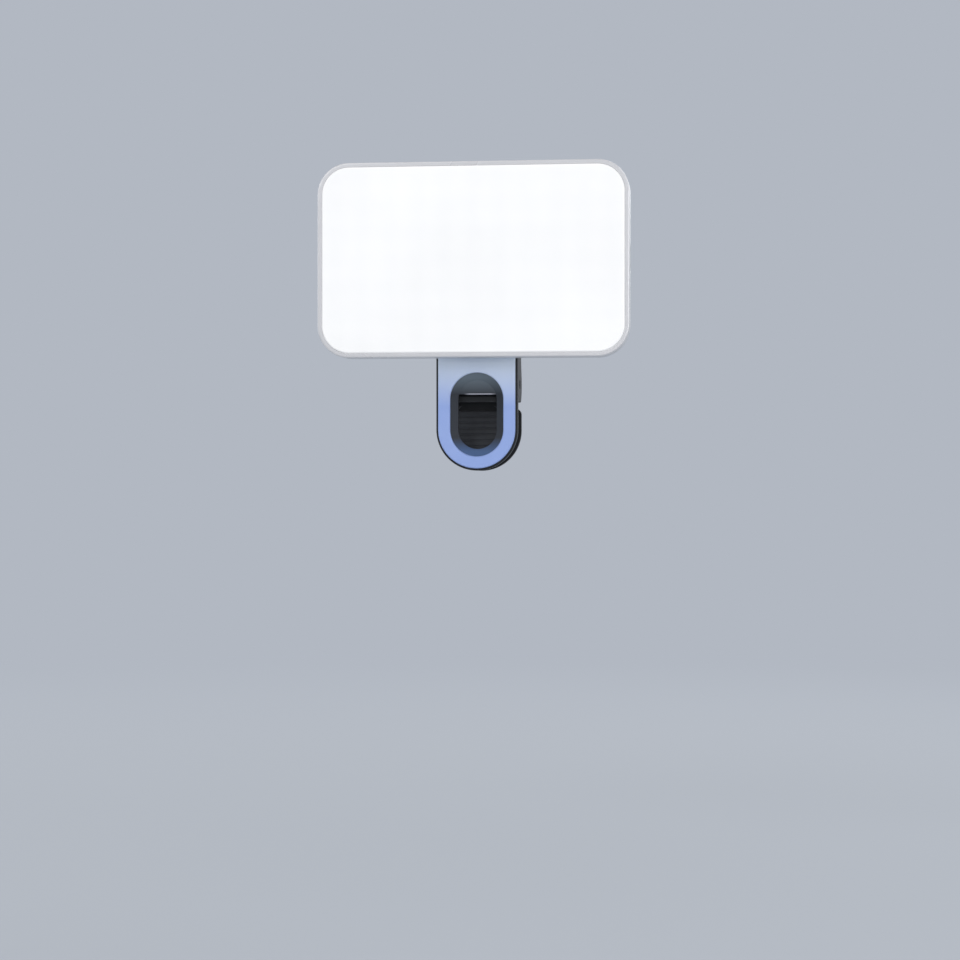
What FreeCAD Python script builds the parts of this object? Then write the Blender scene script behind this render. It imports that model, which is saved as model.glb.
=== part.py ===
import FreeCAD
import Part

import math
import os

# Clip-on selfie light: a flat rectangular lamp that turns on the front arm of a sprung phone clip.
# Millimetres. X to the right, Y away from the viewer, Z up.
# The origin is where the phone's front face meets its top edge, in the middle of the clip.

vec = FreeCAD.Vector

# The phone that the jaws hold
phone_thickness = 8.0

# Front arm of the clip
arm_width = 30.0
arm_thickness = 3.0
arm_rim = 0.4
arm_lower_centre = -10.3
arm_straight_top = 24.0
arm_head_taper = 1.5
arm_edge_round = 0.5
cheek_thickness = 2.2
cheek_radius = 8.2
flange_height = 43.0
flange_depth = 2.5
cheek_edge = 0.5
arm_rib_x = 5.2
arm_rib_width = 1.2
arm_rib_height = 1.0
arm_rib_bottom = 21.5
pin_chamfer = 0.45

# Window through the front jaw
window_straight = 11.1
window_band = 4.4
window_bevel_width = 2.7
window_bevel_depth = 1.9
brow_round = 0.4

# Face plate on the front arm
plate_thickness = 1.2
plate_margin = 0.8
plate_top = 16.6
plate_edge = 0.3
plate_clearance = 0.08

# Pads
pad_thickness = 1.5
pad_seat = 0.4
pad_margin = 1.3
pad_lip = 0.9
pad_top_gap = 0.8
pad_clearance = 0.05
pad_corner = 1.2
groove_depth = 0.35
groove_width = 0.7
groove_pitch = 2.2
groove_margin = 1.1

# Hinge of the rear jaw
stop_height = 2.6
stop_depth = 2.8
stop_setback = 0.6
stop_round = 0.7
barrel_radius = 3.5
barrel_clearance = 0.4
web_inset = 0.8
pin_radius = 1.5
pin_press = 0.02
pin_running = 0.05
pin_end_recess = 0.3

# Rear arm
jaw_thickness = 3.0
jaw_shoulder = -2.2
jaw_edge_round = 0.9
jaw_corner = 2.2
jaw_dish_margin = 4.2
jaw_dish_depth = 0.6
handle_edge = 0.7
handle_side_clearance = 0.6
handle_bend = 11.0
handle_top = 46.0
handle_flare = 7.6
handle_corner = 6.0
rib_count = 6
rib_pitch = 2.6
rib_width = 1.2
rib_height = 0.6
rib_length = 17.0
rib_end_share = 0.46
rib_edge_share = 0.4
rib_top_gap = 5.0

# Torsion spring
wire_radius = 0.55
coil_radius = 2.75
coil_turns = 3
coil_pitch = 1.25
coil_gap = 0.35
coil_side_gap = 0.46
front_leg_length = 13.0
rear_leg_length = 14.0
leg_seat = 0.12
bridge_bend = 1.6
bend_swell = 1.1
bend_gap = 0.1

# Lamp
panel_width = 113.0
panel_height = 70.6
panel_depth = 11.0
panel_corner = 11.5
panel_back_round = 2.0
panel_centre_z = 50.8
panel_gap = 3.0
shell_wall = 1.6
cavity_round = 0.8

# Front frame and diffuser
frame_height = 1.4
frame_bezel = 1.6
frame_edge = 0.5
seam_bevel = 0.22
frame_lap = 0.1
skirt_thickness = 1.1
skirt_depth = 2.0
ledge_width = 2.0
ledge_thickness = 0.5
diffuser_thickness = 1.5
diffuser_rise = 0.4
diffuser_edge = 0.55
diffuser_clearance = 0.08

# Light engine
board_thickness = 1.0
board_clearance = 0.7
chip_columns = 10
chip_rows = 6
chip_inset_x = 11.5
chip_inset_z = 10.3
chip_width = 2.8
chip_height = 3.5
chip_thickness = 0.7
reflector_wall = 2.2
reflector_taper = 1.1
reflector_clearance = 0.15

# Case screws and their posts
case_screw_inset_x = 6.3
case_screw_inset_z = 6.1
case_boss_radius = 2.9
case_post_radius = 2.0
case_hole_radius = 1.15
case_pilot_radius = 0.95
case_shank_radius = 0.9
case_head_radius = 1.8
case_head_height = 1.1
case_head_pocket = 2.0
case_head_sink = 0.3
case_screw_length = 7.2
case_pilot_depth = 1.6
drive_width = 0.45
drive_length = 2.2
drive_depth = 0.6

# Battery
battery_wall_gap = 2.9
battery_hub_gap = 3.6
battery_end_gap = 4.3
battery_thickness = 4.1
battery_corner = 2.0
tape_thickness = 0.2
tape_inset = 4.0
fence_gap = 0.4
fence_thickness = 1.0
fence_height = 2.0

# Control board
control_width = 24.0
control_thickness = 1.0
control_wall_gap = 1.1
control_end_gap = 4.3
control_standoff = 2.9
control_pin_radius = 0.8
control_post_radius = 1.8
control_pin_inset = 2.2
control_hole_clearance = 0.06
control_pin_reach = 0.25

# Leads and connectors
lead_radius = 0.5
lead_pitch = 2.2
lead_end_gap = 0.05
lead_cell_depth = 2.9
lead_sag = 0.15
plug_width = 4.2
plug_height = 5.6
plug_thickness = 2.0
plug_inset = 0.6
plug_end_gap = 10.0
link_width = 2.4
link_height = 9.0
link_inset = 3.4

# Buttons
button_inset = 13.8
power_offset_z = 13.0
brighter_offset_z = -4.5
dimmer_offset_z = -13.5
power_radius = 4.0
step_radius = 3.1
button_proud = 0.8
button_clearance = 0.15
button_flange = 0.7
button_flange_thickness = 0.6
button_flange_gap = 0.05
button_stem_radius = 1.1
button_travel = 0.5
button_edge = 0.25
button_hole_bevel = 0.35
switch_size = 4.0
switch_height = 1.1
switch_spare = 0.1

# Charge indicator
indicator_count = 4
indicator_pitch = 3.2
indicator_inset = 5.6
indicator_offset_z = 11.0
indicator_radius = 0.8
indicator_clearance = 0.05
indicator_bar_width = 2.6
indicator_bar_thickness = 0.7
indicator_chip = 1.2
indicator_chip_height = 0.5

# Charging port
port_width = 8.9
port_height = 3.2
port_length = 7.0
port_wall = 0.3
port_setback = 0.4
port_wall_clearance = 0.2
port_offset_y = 2.3
port_notch_clearance = 0.15
port_hole_bevel = 0.45
tongue_width = 6.6
tongue_thickness = 0.7
tongue_gap = 1.1

# Turning joint between lamp and arm
hub_inset = 0.9
hub_edge = 0.6
hub_spigot_radius = 3.6
hub_spigot_height = 1.2
hub_fit = 0.06
shaft_radius = 4.95
shaft_running = 0.05
washer_thickness = 0.5
washer_play = 0.05
washer_bore_clearance = 0.25
washer_rim_inset = 0.8
keeper_radius = 6.6
keeper_thickness = 0.6
keeper_play = 0.05
head_boss_radius = 9.0
head_boss_height = 2.7
head_floor = 3.2
counterbore_radius = 7.0
pivot_screw_head_radius = 2.6
pivot_screw_head_height = 0.8
pivot_screw_shank = 1.15
pivot_screw_pilot = 1.2
pivot_screw_length = 5.0
cap_thickness = 1.0
cap_fit = 0.05
cap_dome = 0.35
hub_screw_count = 3
hub_screw_circle = 8.6
hub_screw_shank = 0.95
hub_screw_pilot = 1.0
hub_screw_head_radius = 1.8
hub_screw_head_height = 1.0
hub_screw_reach = 2.4

# How far a cutting shape runs past the face that it cuts
overshoot = 1.0

# Planes along Y, from the phone's front face at 0
arm_back = -pad_thickness
arm_front = arm_back - arm_thickness
rim_front = arm_front - arm_rim
plate_front = arm_front - plate_thickness
panel_back = plate_front - panel_gap
panel_front = panel_back - panel_depth
shell_inner = panel_back - shell_wall
diffuser_back = panel_front + diffuser_thickness
frame_front = panel_front + diffuser_rise
frame_back = frame_front + frame_height
ledge_back = diffuser_back + ledge_thickness
skirt_back = frame_back + skirt_depth
board_front = skirt_back
board_back = board_front + board_thickness
control_back = shell_inner - control_standoff
control_front = control_back - control_thickness
rear_pad_face = phone_thickness
jaw_inner = rear_pad_face + pad_thickness
jaw_outer = jaw_inner + jaw_thickness
hub_back = rim_front - washer_thickness - 2 * washer_play
counterbore_floor = rim_front + head_floor
shaft_end = counterbore_floor + keeper_play
boss_back = arm_back + head_boss_height

# Hinge axis and handle
pin_y = phone_thickness / 2
pin_z = stop_height + barrel_clearance + barrel_radius
channel_half = arm_width / 2 - cheek_thickness
handle_half = channel_half - handle_side_clearance
handle_lean = math.atan2(handle_flare, handle_top - handle_bend)
rib_end_round = rib_end_share * rib_width
rib_edge_round = rib_edge_share * rib_height

# Head and hub, from the arm's width inwards
arm_head_radius = arm_width / 2 - arm_head_taper
hub_radius = arm_head_radius - hub_inset

# Window, from the arm's width inwards
plate_half = arm_width / 2 - plate_margin
window_plate_radius = plate_half - window_band
window_arm_radius = window_plate_radius - window_bevel_width
window_low = arm_lower_centre
window_high = arm_lower_centre + window_straight

# Lamp's inside, from the walls inwards
chip_pitch_x = (panel_width - 2 * chip_inset_x) / (chip_columns - 1)
chip_pitch_z = (panel_height - 2 * chip_inset_z) / (chip_rows - 1)
case_screw_x = panel_width / 2 - case_screw_inset_x
case_screw_z = panel_height / 2 - case_screw_inset_z
boss_clear_height = 2 * (case_screw_z - case_boss_radius)
battery_left = -panel_width / 2 + shell_wall + battery_wall_gap
battery_right = -hub_screw_circle - hub_screw_head_radius - battery_hub_gap
battery_width = battery_right - battery_left
battery_height = boss_clear_height - 2 * battery_end_gap
battery_x = (battery_left + battery_right) / 2
control_right = panel_width / 2 - shell_wall - control_wall_gap
control_height = boss_clear_height - 2 * control_end_gap
control_x = control_right - control_width / 2
button_x = control_right - button_inset
indicator_x = control_right - indicator_inset
plug_x = control_right - control_width + plug_inset
plug_z = panel_centre_z - control_height / 2 + plug_end_gap
port_y = shell_inner - port_offset_y
port_outer = panel_width / 2 - port_setback
port_inner = port_outer - port_length


def loop(points):
    """A closed wire: each item is a point, or a pair (point on an arc, arc end)."""
    edges = []
    start = points[0]
    for item in points[1:] + [points[0]]:
        if isinstance(item, tuple):
            middle, end = item
            edges.append(Part.Arc(start, middle, end).toShape())
        else:
            end = item
            if start.distanceToPoint(end) > 1e-6:
                edges.append(Part.LineSegment(start, end).toShape())
        start = end
    return Part.Wire(edges)


def rounded_rectangle(width, height, corner, y, x=0.0, z=0.0):
    """A rounded rectangle in the plane at y."""
    a = width / 2
    b = height / 2
    r = corner
    s = r * (1 - math.sqrt(0.5))

    def at(px, pz):
        return vec(x + px, y, z + pz)

    start = at(-a + r, -b)
    edges = []
    for quarter in range(4):
        turn = [(1, 0), (0, 1), (-1, 0), (0, -1)][quarter]
        side = [(0, -1), (1, 0), (0, 1), (-1, 0)][quarter]
        reach = a if turn[0] else b
        offset = b if turn[0] else a
        line_end = at(
            turn[0] * (reach - r) + side[0] * offset,
            turn[1] * (reach - r) + side[1] * offset,
        )
        middle = at(
            turn[0] * (reach - s) + side[0] * (offset - s),
            turn[1] * (reach - s) + side[1] * (offset - s),
        )
        arc_end = at(
            turn[0] * reach + side[0] * (offset - r),
            turn[1] * reach + side[1] * (offset - r),
        )
        edges.append(Part.LineSegment(start, line_end).toShape())
        edges.append(Part.Arc(line_end, middle, arc_end).toShape())
        start = arc_end
    return Part.Wire(edges)


def stadium(radius, low, high, y):
    """Two half circles at heights low and high, joined by straight sides."""
    return loop([
        vec(-radius, y, high),
        vec(-radius, y, low),
        (vec(0, y, low - radius), vec(radius, y, low)),
        vec(radius, y, high),
        (vec(0, y, high + radius), vec(-radius, y, high)),
    ])


def tongue_shape(half, centre, top, y, corner=0.0):
    """A half circle at the bottom with straight sides up to a flat top, whose corners may be round."""
    s = corner * (1 - math.sqrt(0.5))
    points = [
        vec(-half, y, top - corner),
        vec(-half, y, centre),
        (vec(0, y, centre - half), vec(half, y, centre)),
        vec(half, y, top - corner),
    ]
    if corner:
        points.append((vec(half - s, y, top - s), vec(half - corner, y, top)))
        points.append(vec(-half + corner, y, top))
        points.append((vec(-half + s, y, top - s), vec(-half, y, top - corner)))
    else:
        points.append(vec(-half, y, top))
    return loop(points)


def prism(wire, depth):
    """The face inside a wire, pushed along Y."""
    return Part.Face(wire).extrude(vec(0, depth, 0))


def along_y(radius, x, z, start, end):
    return Part.makeCylinder(radius, end - start, vec(x, start, z), vec(0, 1, 0))


def along_x(radius, y, z, start, end):
    return Part.makeCylinder(radius, end - start, vec(start, y, z), vec(1, 0, 0))


def block(x0, x1, y0, y1, z0, z1):
    return Part.makeBox(x1 - x0, y1 - y0, z1 - z0, vec(x0, y0, z0))


def edges_in_plane(shape, y):
    """The edges that lie in the plane at y."""
    found = []
    for edge in shape.Edges:
        box = edge.BoundBox
        if abs(box.YMin - y) < 1e-4 and abs(box.YMax - y) < 1e-4:
            found.append(edge)
    return found


def edges_in_side(shape, x):
    """The edges that lie in the plane at x."""
    found = []
    for edge in shape.Edges:
        box = edge.BoundBox
        if abs(box.XMin - x) < 1e-4 and abs(box.XMax - x) < 1e-4:
            found.append(edge)
    return found


def flared_mouth(radius, bevel, x, z, y):
    """The cone that bevels the mouth of a hole, open towards the back."""
    return Part.makeCone(radius, radius + 2 * bevel, 2 * bevel, vec(x, y - bevel, z), vec(0, 1, 0))


def pin_mouth(x, side):
    """The bevel round the hinge pin's hole in a cheek."""
    start = vec(x - side * pin_chamfer, pin_y, pin_z)
    wide = pin_radius + 2 * pin_chamfer
    return Part.makeCone(pin_radius, wide, 2 * pin_chamfer, start, vec(side, 0, 0))


def joined(first, *others):
    shape = first.fuse(list(others))
    return shape.removeSplitter()


def both_sides(make):
    """A feature at the right and its mirror image at the left."""
    right = make(1)
    left = make(-1)
    return [right, left]


def pad_grooves(outline, low, high, start, end):
    """Evenly spaced level slots for grip, kept inside an outline."""
    count = int((high - low) // groove_pitch)
    half = arm_width / 2
    slots = []
    for i in range(count):
        z = high - (i + 0.5) * groove_pitch
        slot = block(-half, half, start, end, z - groove_width / 2, z + groove_width / 2)
        slots.append(slot.common(outline))
    return slots


def arm_outline(y):
    """Outline of the front arm: round jaw, straight sides, and sides that run on to the round head."""
    half = arm_width / 2
    rise = panel_centre_z - arm_straight_top
    span = math.hypot(half, rise)
    lean = math.atan2(half, rise) - math.asin(arm_head_radius / span)
    touch_x = arm_head_radius * math.cos(lean)
    touch_z = panel_centre_z + arm_head_radius * math.sin(lean)
    return loop([
        vec(-half, y, arm_straight_top),
        vec(-half, y, arm_lower_centre),
        (vec(0, y, arm_lower_centre - half), vec(half, y, arm_lower_centre)),
        vec(half, y, arm_straight_top),
        vec(touch_x, y, touch_z),
        (vec(0, y, panel_centre_z + arm_head_radius), vec(-touch_x, y, touch_z)),
    ])


def cheek_profile(x):
    """Side flange of the front arm: round about the hinge pin, then running out up the arm."""
    bottom_y = pin_y + math.sqrt(cheek_radius ** 2 - pin_z ** 2)
    low = math.atan2(-pin_z, bottom_y - pin_y)
    tip = vec(x, arm_back + flange_depth, flange_height - flange_depth)
    run = math.hypot(tip.y - pin_y, tip.z - pin_z)
    toward = math.atan2(tip.z - pin_z, tip.y - pin_y)
    high = toward - math.acos(cheek_radius / run)
    middle = (low + high) / 2

    def on_arc(angle):
        return vec(x, pin_y + cheek_radius * math.cos(angle), pin_z + cheek_radius * math.sin(angle))

    return loop([
        vec(x, arm_front + 0.5 * arm_thickness, 0),
        vec(x, bottom_y, 0),
        (on_arc(middle), on_arc(high)),
        tip,
        vec(x, arm_front + 0.5 * arm_thickness, flange_height),
    ])


def front_arm():
    """The moulding that carries the lamp, the hinge and the front jaw."""
    outline = prism(arm_outline(rim_front), arm_back - rim_front)
    body = outline.makeFillet(arm_edge_round, edges_in_plane(outline, rim_front))
    envelope = prism(arm_outline(rim_front), jaw_outer - rim_front)

    def cheek(side):
        flange = Part.Face(cheek_profile(side * channel_half)).extrude(vec(side * cheek_thickness, 0, 0))
        front = arm_front + 0.5 * arm_thickness
        rear = [e for e in edges_in_side(flange, side * arm_width / 2) if e.BoundBox.YMax > front + 1e-3]
        return flange.makeFillet(cheek_edge, rear).common(envelope)

    def rib(side):
        x = side * arm_rib_x
        return block(
            x - arm_rib_width / 2,
            x + arm_rib_width / 2,
            arm_back - 0.5 * arm_thickness,
            arm_back + arm_rib_height,
            arm_rib_bottom,
            panel_centre_z - 0.5 * head_boss_radius,
        )

    bar = block(
        -channel_half - 0.5 * cheek_thickness,
        channel_half + 0.5 * cheek_thickness,
        stop_setback,
        stop_setback + stop_depth,
        0,
        stop_height,
    )
    long_edges = [e for e in bar.Edges if e.BoundBox.XLength > channel_half]
    bar = bar.makeFillet(stop_round, [e for e in long_edges if e.BoundBox.ZMin > 0.5 * stop_height])
    boss = along_y(head_boss_radius, 0, panel_centre_z, arm_back - 0.5 * arm_thickness, boss_back)
    body = joined(body, bar, boss, *both_sides(cheek), *both_sides(rib))

    pocket_top = plate_top + plate_clearance
    pocket = prism(
        tongue_shape(plate_half + plate_clearance, arm_lower_centre, pocket_top, rim_front - overshoot),
        arm_front - rim_front + overshoot,
    )
    mouth = window_plate_radius - plate_clearance
    bevel_end = arm_front + window_bevel_depth
    wide_end = stadium(mouth, window_low, window_high, arm_front)
    narrow_end = stadium(window_arm_radius, window_low, window_high, bevel_end)
    bevel = Part.makeLoft([wide_end, narrow_end], True, True)
    brow = block(
        -window_plate_radius,
        window_plate_radius,
        bevel_end,
        arm_back + overshoot,
        stop_height,
        window_high + window_plate_radius,
    )
    lower_edge = [e for e in edges_in_plane(brow, bevel_end) if e.BoundBox.ZMax < stop_height + 1e-3]
    brow = brow.makeFillet(brow_round, lower_edge)
    window = prism(stadium(window_arm_radius, window_low, window_high, arm_front), arm_thickness).cut(brow)
    pad_half = arm_width / 2 - pad_margin + pad_clearance
    pad_window = window_arm_radius + pad_lip - pad_clearance
    seat_top = -pad_top_gap + pad_clearance
    seat_floor = arm_back - pad_seat
    seat = prism(tongue_shape(pad_half, arm_lower_centre, seat_top, seat_floor, pad_corner), pad_seat)
    land = prism(stadium(pad_window, window_low, window_high, arm_back - pad_seat), pad_seat)
    pin_hole = along_x(pin_radius + pin_press, pin_y, pin_z, -arm_width, arm_width)
    turn_hole = along_y(shaft_radius + shaft_running, 0, panel_centre_z, rim_front - overshoot, boss_back)
    counterbore = along_y(counterbore_radius, 0, panel_centre_z, counterbore_floor, boss_back + overshoot)
    mouths = both_sides(lambda side: pin_mouth(side * arm_width / 2, side))
    return body.cut([pocket, bevel, window, seat.cut(land), pin_hole, turn_hole, counterbore] + mouths)


def face_plate():
    """The coloured metal plate round the window."""
    plate = prism(tongue_shape(plate_half, arm_lower_centre, plate_top, plate_front), plate_thickness)
    window = prism(stadium(window_plate_radius, window_low, window_high, plate_front), plate_thickness)
    plate = plate.cut(window)
    return plate.makeChamfer(plate_edge, edges_in_plane(plate, plate_front))


def front_pad():
    """The soft pad behind the front jaw, open round the window."""
    half = arm_width / 2 - pad_margin
    back = arm_back - pad_seat
    top = -pad_top_gap
    hole = window_arm_radius + pad_lip
    pad = prism(tongue_shape(half, arm_lower_centre, top, back, pad_corner), -back)
    pad = pad.cut(prism(stadium(hole, window_low, window_high, back), -back))
    reach = half - groove_margin
    high = top - groove_margin
    inner = prism(tongue_shape(reach, arm_lower_centre, high, -groove_depth), groove_depth)
    island = prism(stadium(hole + groove_margin, window_low, window_high, -groove_depth), groove_depth)
    return pad.cut(pad_grooves(inner.cut(island), arm_lower_centre - reach, high, -groove_depth, 0))


def rear_pad():
    """The soft pad on the rear jaw."""
    half = arm_width / 2 - pad_margin
    top = jaw_shoulder - pad_top_gap
    face = rear_pad_face
    pad = prism(tongue_shape(half, arm_lower_centre, top, face, pad_corner), pad_thickness + pad_seat)
    reach = half - groove_margin
    high = top - groove_margin
    inner = prism(tongue_shape(reach, arm_lower_centre, high, face), groove_depth)
    return pad.cut(pad_grooves(inner, arm_lower_centre - reach, high, face, face + groove_depth))


def hinge_pin():
    """The steel pin through the cheeks and the barrel."""
    reach = arm_width / 2 - pin_end_recess
    return along_x(pin_radius, pin_y, pin_z, -reach, reach)


def handle_face(z):
    """Y of the handle's inner face at height z."""
    return jaw_inner + (z - handle_bend) * math.tan(handle_lean)


def handle_slab():
    """The leaning upper part of the rear arm, with rounded corners and soft edges."""
    length = (handle_top - handle_bend) / math.cos(handle_lean)
    r = handle_corner
    s = r * (1 - math.sqrt(0.5))
    w = handle_half
    y = jaw_inner
    outline = loop([
        vec(-w, y, 0),
        vec(w, y, 0),
        vec(w, y, length - r),
        (vec(w - s, y, length - s), vec(w - r, y, length)),
        vec(-w + r, y, length),
        (vec(-w + s, y, length - s), vec(-w, y, length - r)),
    ])
    slab = prism(outline, jaw_thickness)
    rims = edges_in_plane(slab, y) + edges_in_plane(slab, y + jaw_thickness)
    slab = slab.makeFillet(handle_edge, [e for e in rims if e.BoundBox.ZMax > 0.5 * handle_edge])
    slab.rotate(vec(0, y, 0), vec(1, 0, 0), -math.degrees(handle_lean))
    slab.translate(vec(0, 0, handle_bend))
    return slab


def rear_arm():
    """The sprung arm: rear jaw, barrel round the pin, and the handle that is squeezed."""
    half = arm_width / 2
    jaw_outline = tongue_shape(half, arm_lower_centre, jaw_shoulder, jaw_inner, jaw_corner)
    jaw = prism(jaw_outline, jaw_thickness)
    jaw = jaw.makeFillet(jaw_edge_round, edges_in_plane(jaw, jaw_outer))
    neck_bottom = jaw_shoulder - jaw_edge_round
    neck = block(-handle_half, handle_half, jaw_inner, jaw_outer, neck_bottom, handle_bend)
    neck_edges = [e for e in edges_in_plane(neck, jaw_outer) if e.BoundBox.ZLength > 1]
    neck = neck.makeFillet(handle_edge, neck_edges)

    barrel_half = spring_layout()["inner_x"] - wire_radius - coil_gap
    barrel = along_x(barrel_radius, pin_y, pin_z, -barrel_half, barrel_half)
    web = block(
        -barrel_half,
        barrel_half,
        pin_y,
        jaw_inner + 0.5 * jaw_thickness,
        pin_z - barrel_radius + web_inset,
        pin_z + barrel_radius - web_inset,
    )
    arm = joined(jaw, neck, handle_slab(), barrel, web, *grip_ribs())
    pad_half = half - pad_margin + pad_clearance
    pad_room_top = jaw_shoulder - pad_top_gap + pad_clearance
    seat_start = jaw_inner - overshoot
    seat_outline = tongue_shape(pad_half, arm_lower_centre, pad_room_top, seat_start, pad_corner)
    seat = prism(seat_outline, pad_seat + overshoot)
    dish_half = half - jaw_dish_margin
    dish_top = jaw_shoulder - jaw_dish_margin
    dish_floor = jaw_outer - jaw_dish_depth
    dish = prism(tongue_shape(dish_half, arm_lower_centre, dish_top, dish_floor), jaw_dish_depth)
    bore = along_x(pin_radius + pin_running, pin_y, pin_z, -arm_width, arm_width)
    return arm.cut([seat, dish, bore])


def grip_ribs():
    """Level ribs across the back of the handle."""
    ribs = []
    half = rib_length / 2
    for i in range(rib_count):
        z = handle_top - rib_top_gap - i * rib_pitch
        y = handle_face(z) + jaw_thickness / math.cos(handle_lean)
        rib = block(-half, half, -0.5 * jaw_thickness, rib_height, -rib_width / 2, rib_width / 2)
        rib = rib.makeFillet(rib_end_round, [e for e in rib.Edges if e.BoundBox.YLength > rib_height])
        rib = rib.makeFillet(rib_edge_round, edges_in_plane(rib, rib_height))
        rib.rotate(vec(0, 0, 0), vec(1, 0, 0), -math.degrees(handle_lean))
        rib.translate(vec(0, y, z))
        ribs.append(rib)
    return ribs


def tangent_from(y, z, side):
    """Angle about the pin at which a straight leg to (y, z) leaves the coil."""
    reach = math.hypot(y - pin_y, z - pin_z)
    toward = math.atan2(z - pin_z, y - pin_y)
    return toward + side * math.acos(coil_radius / reach)


def spring_layout():
    """Where the spring's coils and legs lie, worked out from the cheeks inwards."""
    front = (arm_back + wire_radius + leg_seat, pin_z + front_leg_length)
    bridge_z = pin_z + rear_leg_length
    bridge = (handle_face(bridge_z) - (wire_radius + leg_seat) / math.cos(handle_lean), bridge_z)
    first = tangent_from(*front, 1)
    last = tangent_from(*bridge, -1)
    sweep = (last - first) % (2 * math.pi) + 2 * math.pi * coil_turns
    length = coil_pitch * sweep / (2 * math.pi)
    outer_x = channel_half - coil_side_gap - wire_radius
    return {
        "front": front,
        "bridge": bridge,
        "first": first,
        "last": last,
        "length": length,
        "outer_x": outer_x,
        "inner_x": outer_x - length,
    }


def wire_bend(point, toward):
    """The slightly swollen wire where a coil ends and a straight leg begins, and the leg's start."""
    up = (toward - point).normalize()
    ball = Part.makeSphere(bend_swell * wire_radius, point + up * (0.5 * bend_gap))
    return ball, point + up * bend_gap, up


def spring_bridge(left, up, corner):
    """The wire from one coil up to the bridge, across, and down to the other coil."""
    side = vec(1, 0, 0)
    right = vec(-left.x, left.y, left.z)
    far = vec(-corner.x, corner.y, corner.z)
    inside = bridge_bend * (1 - math.sqrt(0.5))
    path = Part.Wire([
        Part.LineSegment(left, corner - up * bridge_bend).toShape(),
        Part.Arc(
            corner - up * bridge_bend,
            corner + (side - up) * inside,
            corner + side * bridge_bend,
        ).toShape(),
        Part.LineSegment(corner + side * bridge_bend, far - side * bridge_bend).toShape(),
        Part.Arc(
            far - side * bridge_bend,
            far - (side + up) * inside,
            far - up * bridge_bend,
        ).toShape(),
        Part.LineSegment(far - up * bridge_bend, right).toShape(),
    ])
    ring = Part.Wire(Part.makeCircle(wire_radius, left, up))
    return path.makePipeShell([ring], True, False)


def torsion_spring():
    """Two coils on the pin. Outer legs press on the front arm, and the bridge presses on the handle."""
    shape = spring_layout()
    length = shape["length"]
    first, last = shape["first"], shape["last"]
    inner_x, outer_x = shape["inner_x"], shape["outer_x"]

    helix = Part.Wire(Part.makeHelix(coil_pitch, length, coil_radius))
    ring = Part.Wire(Part.makeCircle(wire_radius, vec(coil_radius, 0, 0), vec(0, 1, 0)))
    coil = helix.makePipeShell([ring], True, True)
    coil.rotate(vec(0, 0, 0), vec(1, 1, 1), 120)
    coil.rotate(vec(0, 0, 0), vec(1, 0, 0), math.degrees(first))
    coil.translate(vec(-outer_x, pin_y, pin_z))

    def on_coil(x, angle):
        return vec(x, pin_y + coil_radius * math.cos(angle), pin_z + coil_radius * math.sin(angle))

    leg_end = vec(-outer_x, *shape["front"])
    outer_ball, leg_start, leg_up = wire_bend(on_coil(-outer_x, first), leg_end)
    leg = Part.makeCylinder(wire_radius, leg_start.distanceToPoint(leg_end), leg_start, leg_up)
    corner = vec(-inner_x, *shape["bridge"])
    inner_ball, bridge_start, bridge_up = wire_bend(on_coil(-inner_x, last), corner)
    left = coil.fuse([outer_ball, leg, inner_ball])
    right = left.mirror(vec(0, 0, 0), vec(1, 0, 0))
    return spring_bridge(bridge_start, bridge_up, corner).fuse([left, right])


def panel_prism(inset, start, end):
    """A slab of the lamp's outline, moved inwards by inset."""
    wire = rounded_rectangle(
        panel_width - 2 * inset, panel_height - 2 * inset, panel_corner - inset, start, 0, panel_centre_z
    )
    return prism(wire, end - start)


def case_screw_places():
    heights = (panel_centre_z - case_screw_z, panel_centre_z + case_screw_z)
    return [(x, z) for x in (-case_screw_x, case_screw_x) for z in heights]


def hub_screw_places():
    places = []
    for i in range(hub_screw_count):
        angle = math.pi / 2 + 2 * math.pi * i / hub_screw_count
        z = panel_centre_z + hub_screw_circle * math.sin(angle)
        places.append((hub_screw_circle * math.cos(angle), z))
    return places


def control_pin_places():
    reach_x = control_width / 2 - control_pin_inset
    reach_z = control_height / 2 - control_pin_inset
    return [
        (control_x + x, panel_centre_z + z) for x in (-reach_x, reach_x) for z in (-reach_z, reach_z)
    ]


def indicator_places():
    middle = (indicator_count - 1) / 2
    return [
        (indicator_x, panel_centre_z + indicator_offset_z + (i - middle) * indicator_pitch)
        for i in range(indicator_count)
    ]


def button_places():
    return {
        "power_button": (panel_centre_z + power_offset_z, power_radius),
        "brighter_button": (panel_centre_z + brighter_offset_z, step_radius),
        "dimmer_button": (panel_centre_z + dimmer_offset_z, step_radius),
    }


def port_wire(margin, x):
    """Outline of the charging port, grown by margin, in the plane at x."""
    half = port_width / 2 + margin
    r = port_height / 2 + margin
    z = panel_centre_z
    return loop([
        vec(x, port_y - r, z - half + r),
        vec(x, port_y - r, z + half - r),
        (vec(x, port_y, z + half), vec(x, port_y + r, z + half - r)),
        vec(x, port_y + r, z - half + r),
        (vec(x, port_y, z - half), vec(x, port_y - r, z - half + r)),
    ])


def port_prism(margin, start, end):
    return Part.Face(port_wire(margin, start)).extrude(vec(end - start, 0, 0))


def port_mouth(x):
    """The bevel round the port's opening in the lamp's side."""
    small = port_wall_clearance
    inner_end = port_wire(small, x - port_hole_bevel)
    outer_end = port_wire(small + port_hole_bevel, x)
    return Part.makeLoft([inner_end, outer_end], True, True)


def battery_prism(margin, start, end):
    wire = rounded_rectangle(
        battery_width + 2 * margin, battery_height + 2 * margin, battery_corner + max(margin, 0),
        start, battery_x, panel_centre_z
    )
    return prism(wire, end - start)


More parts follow.
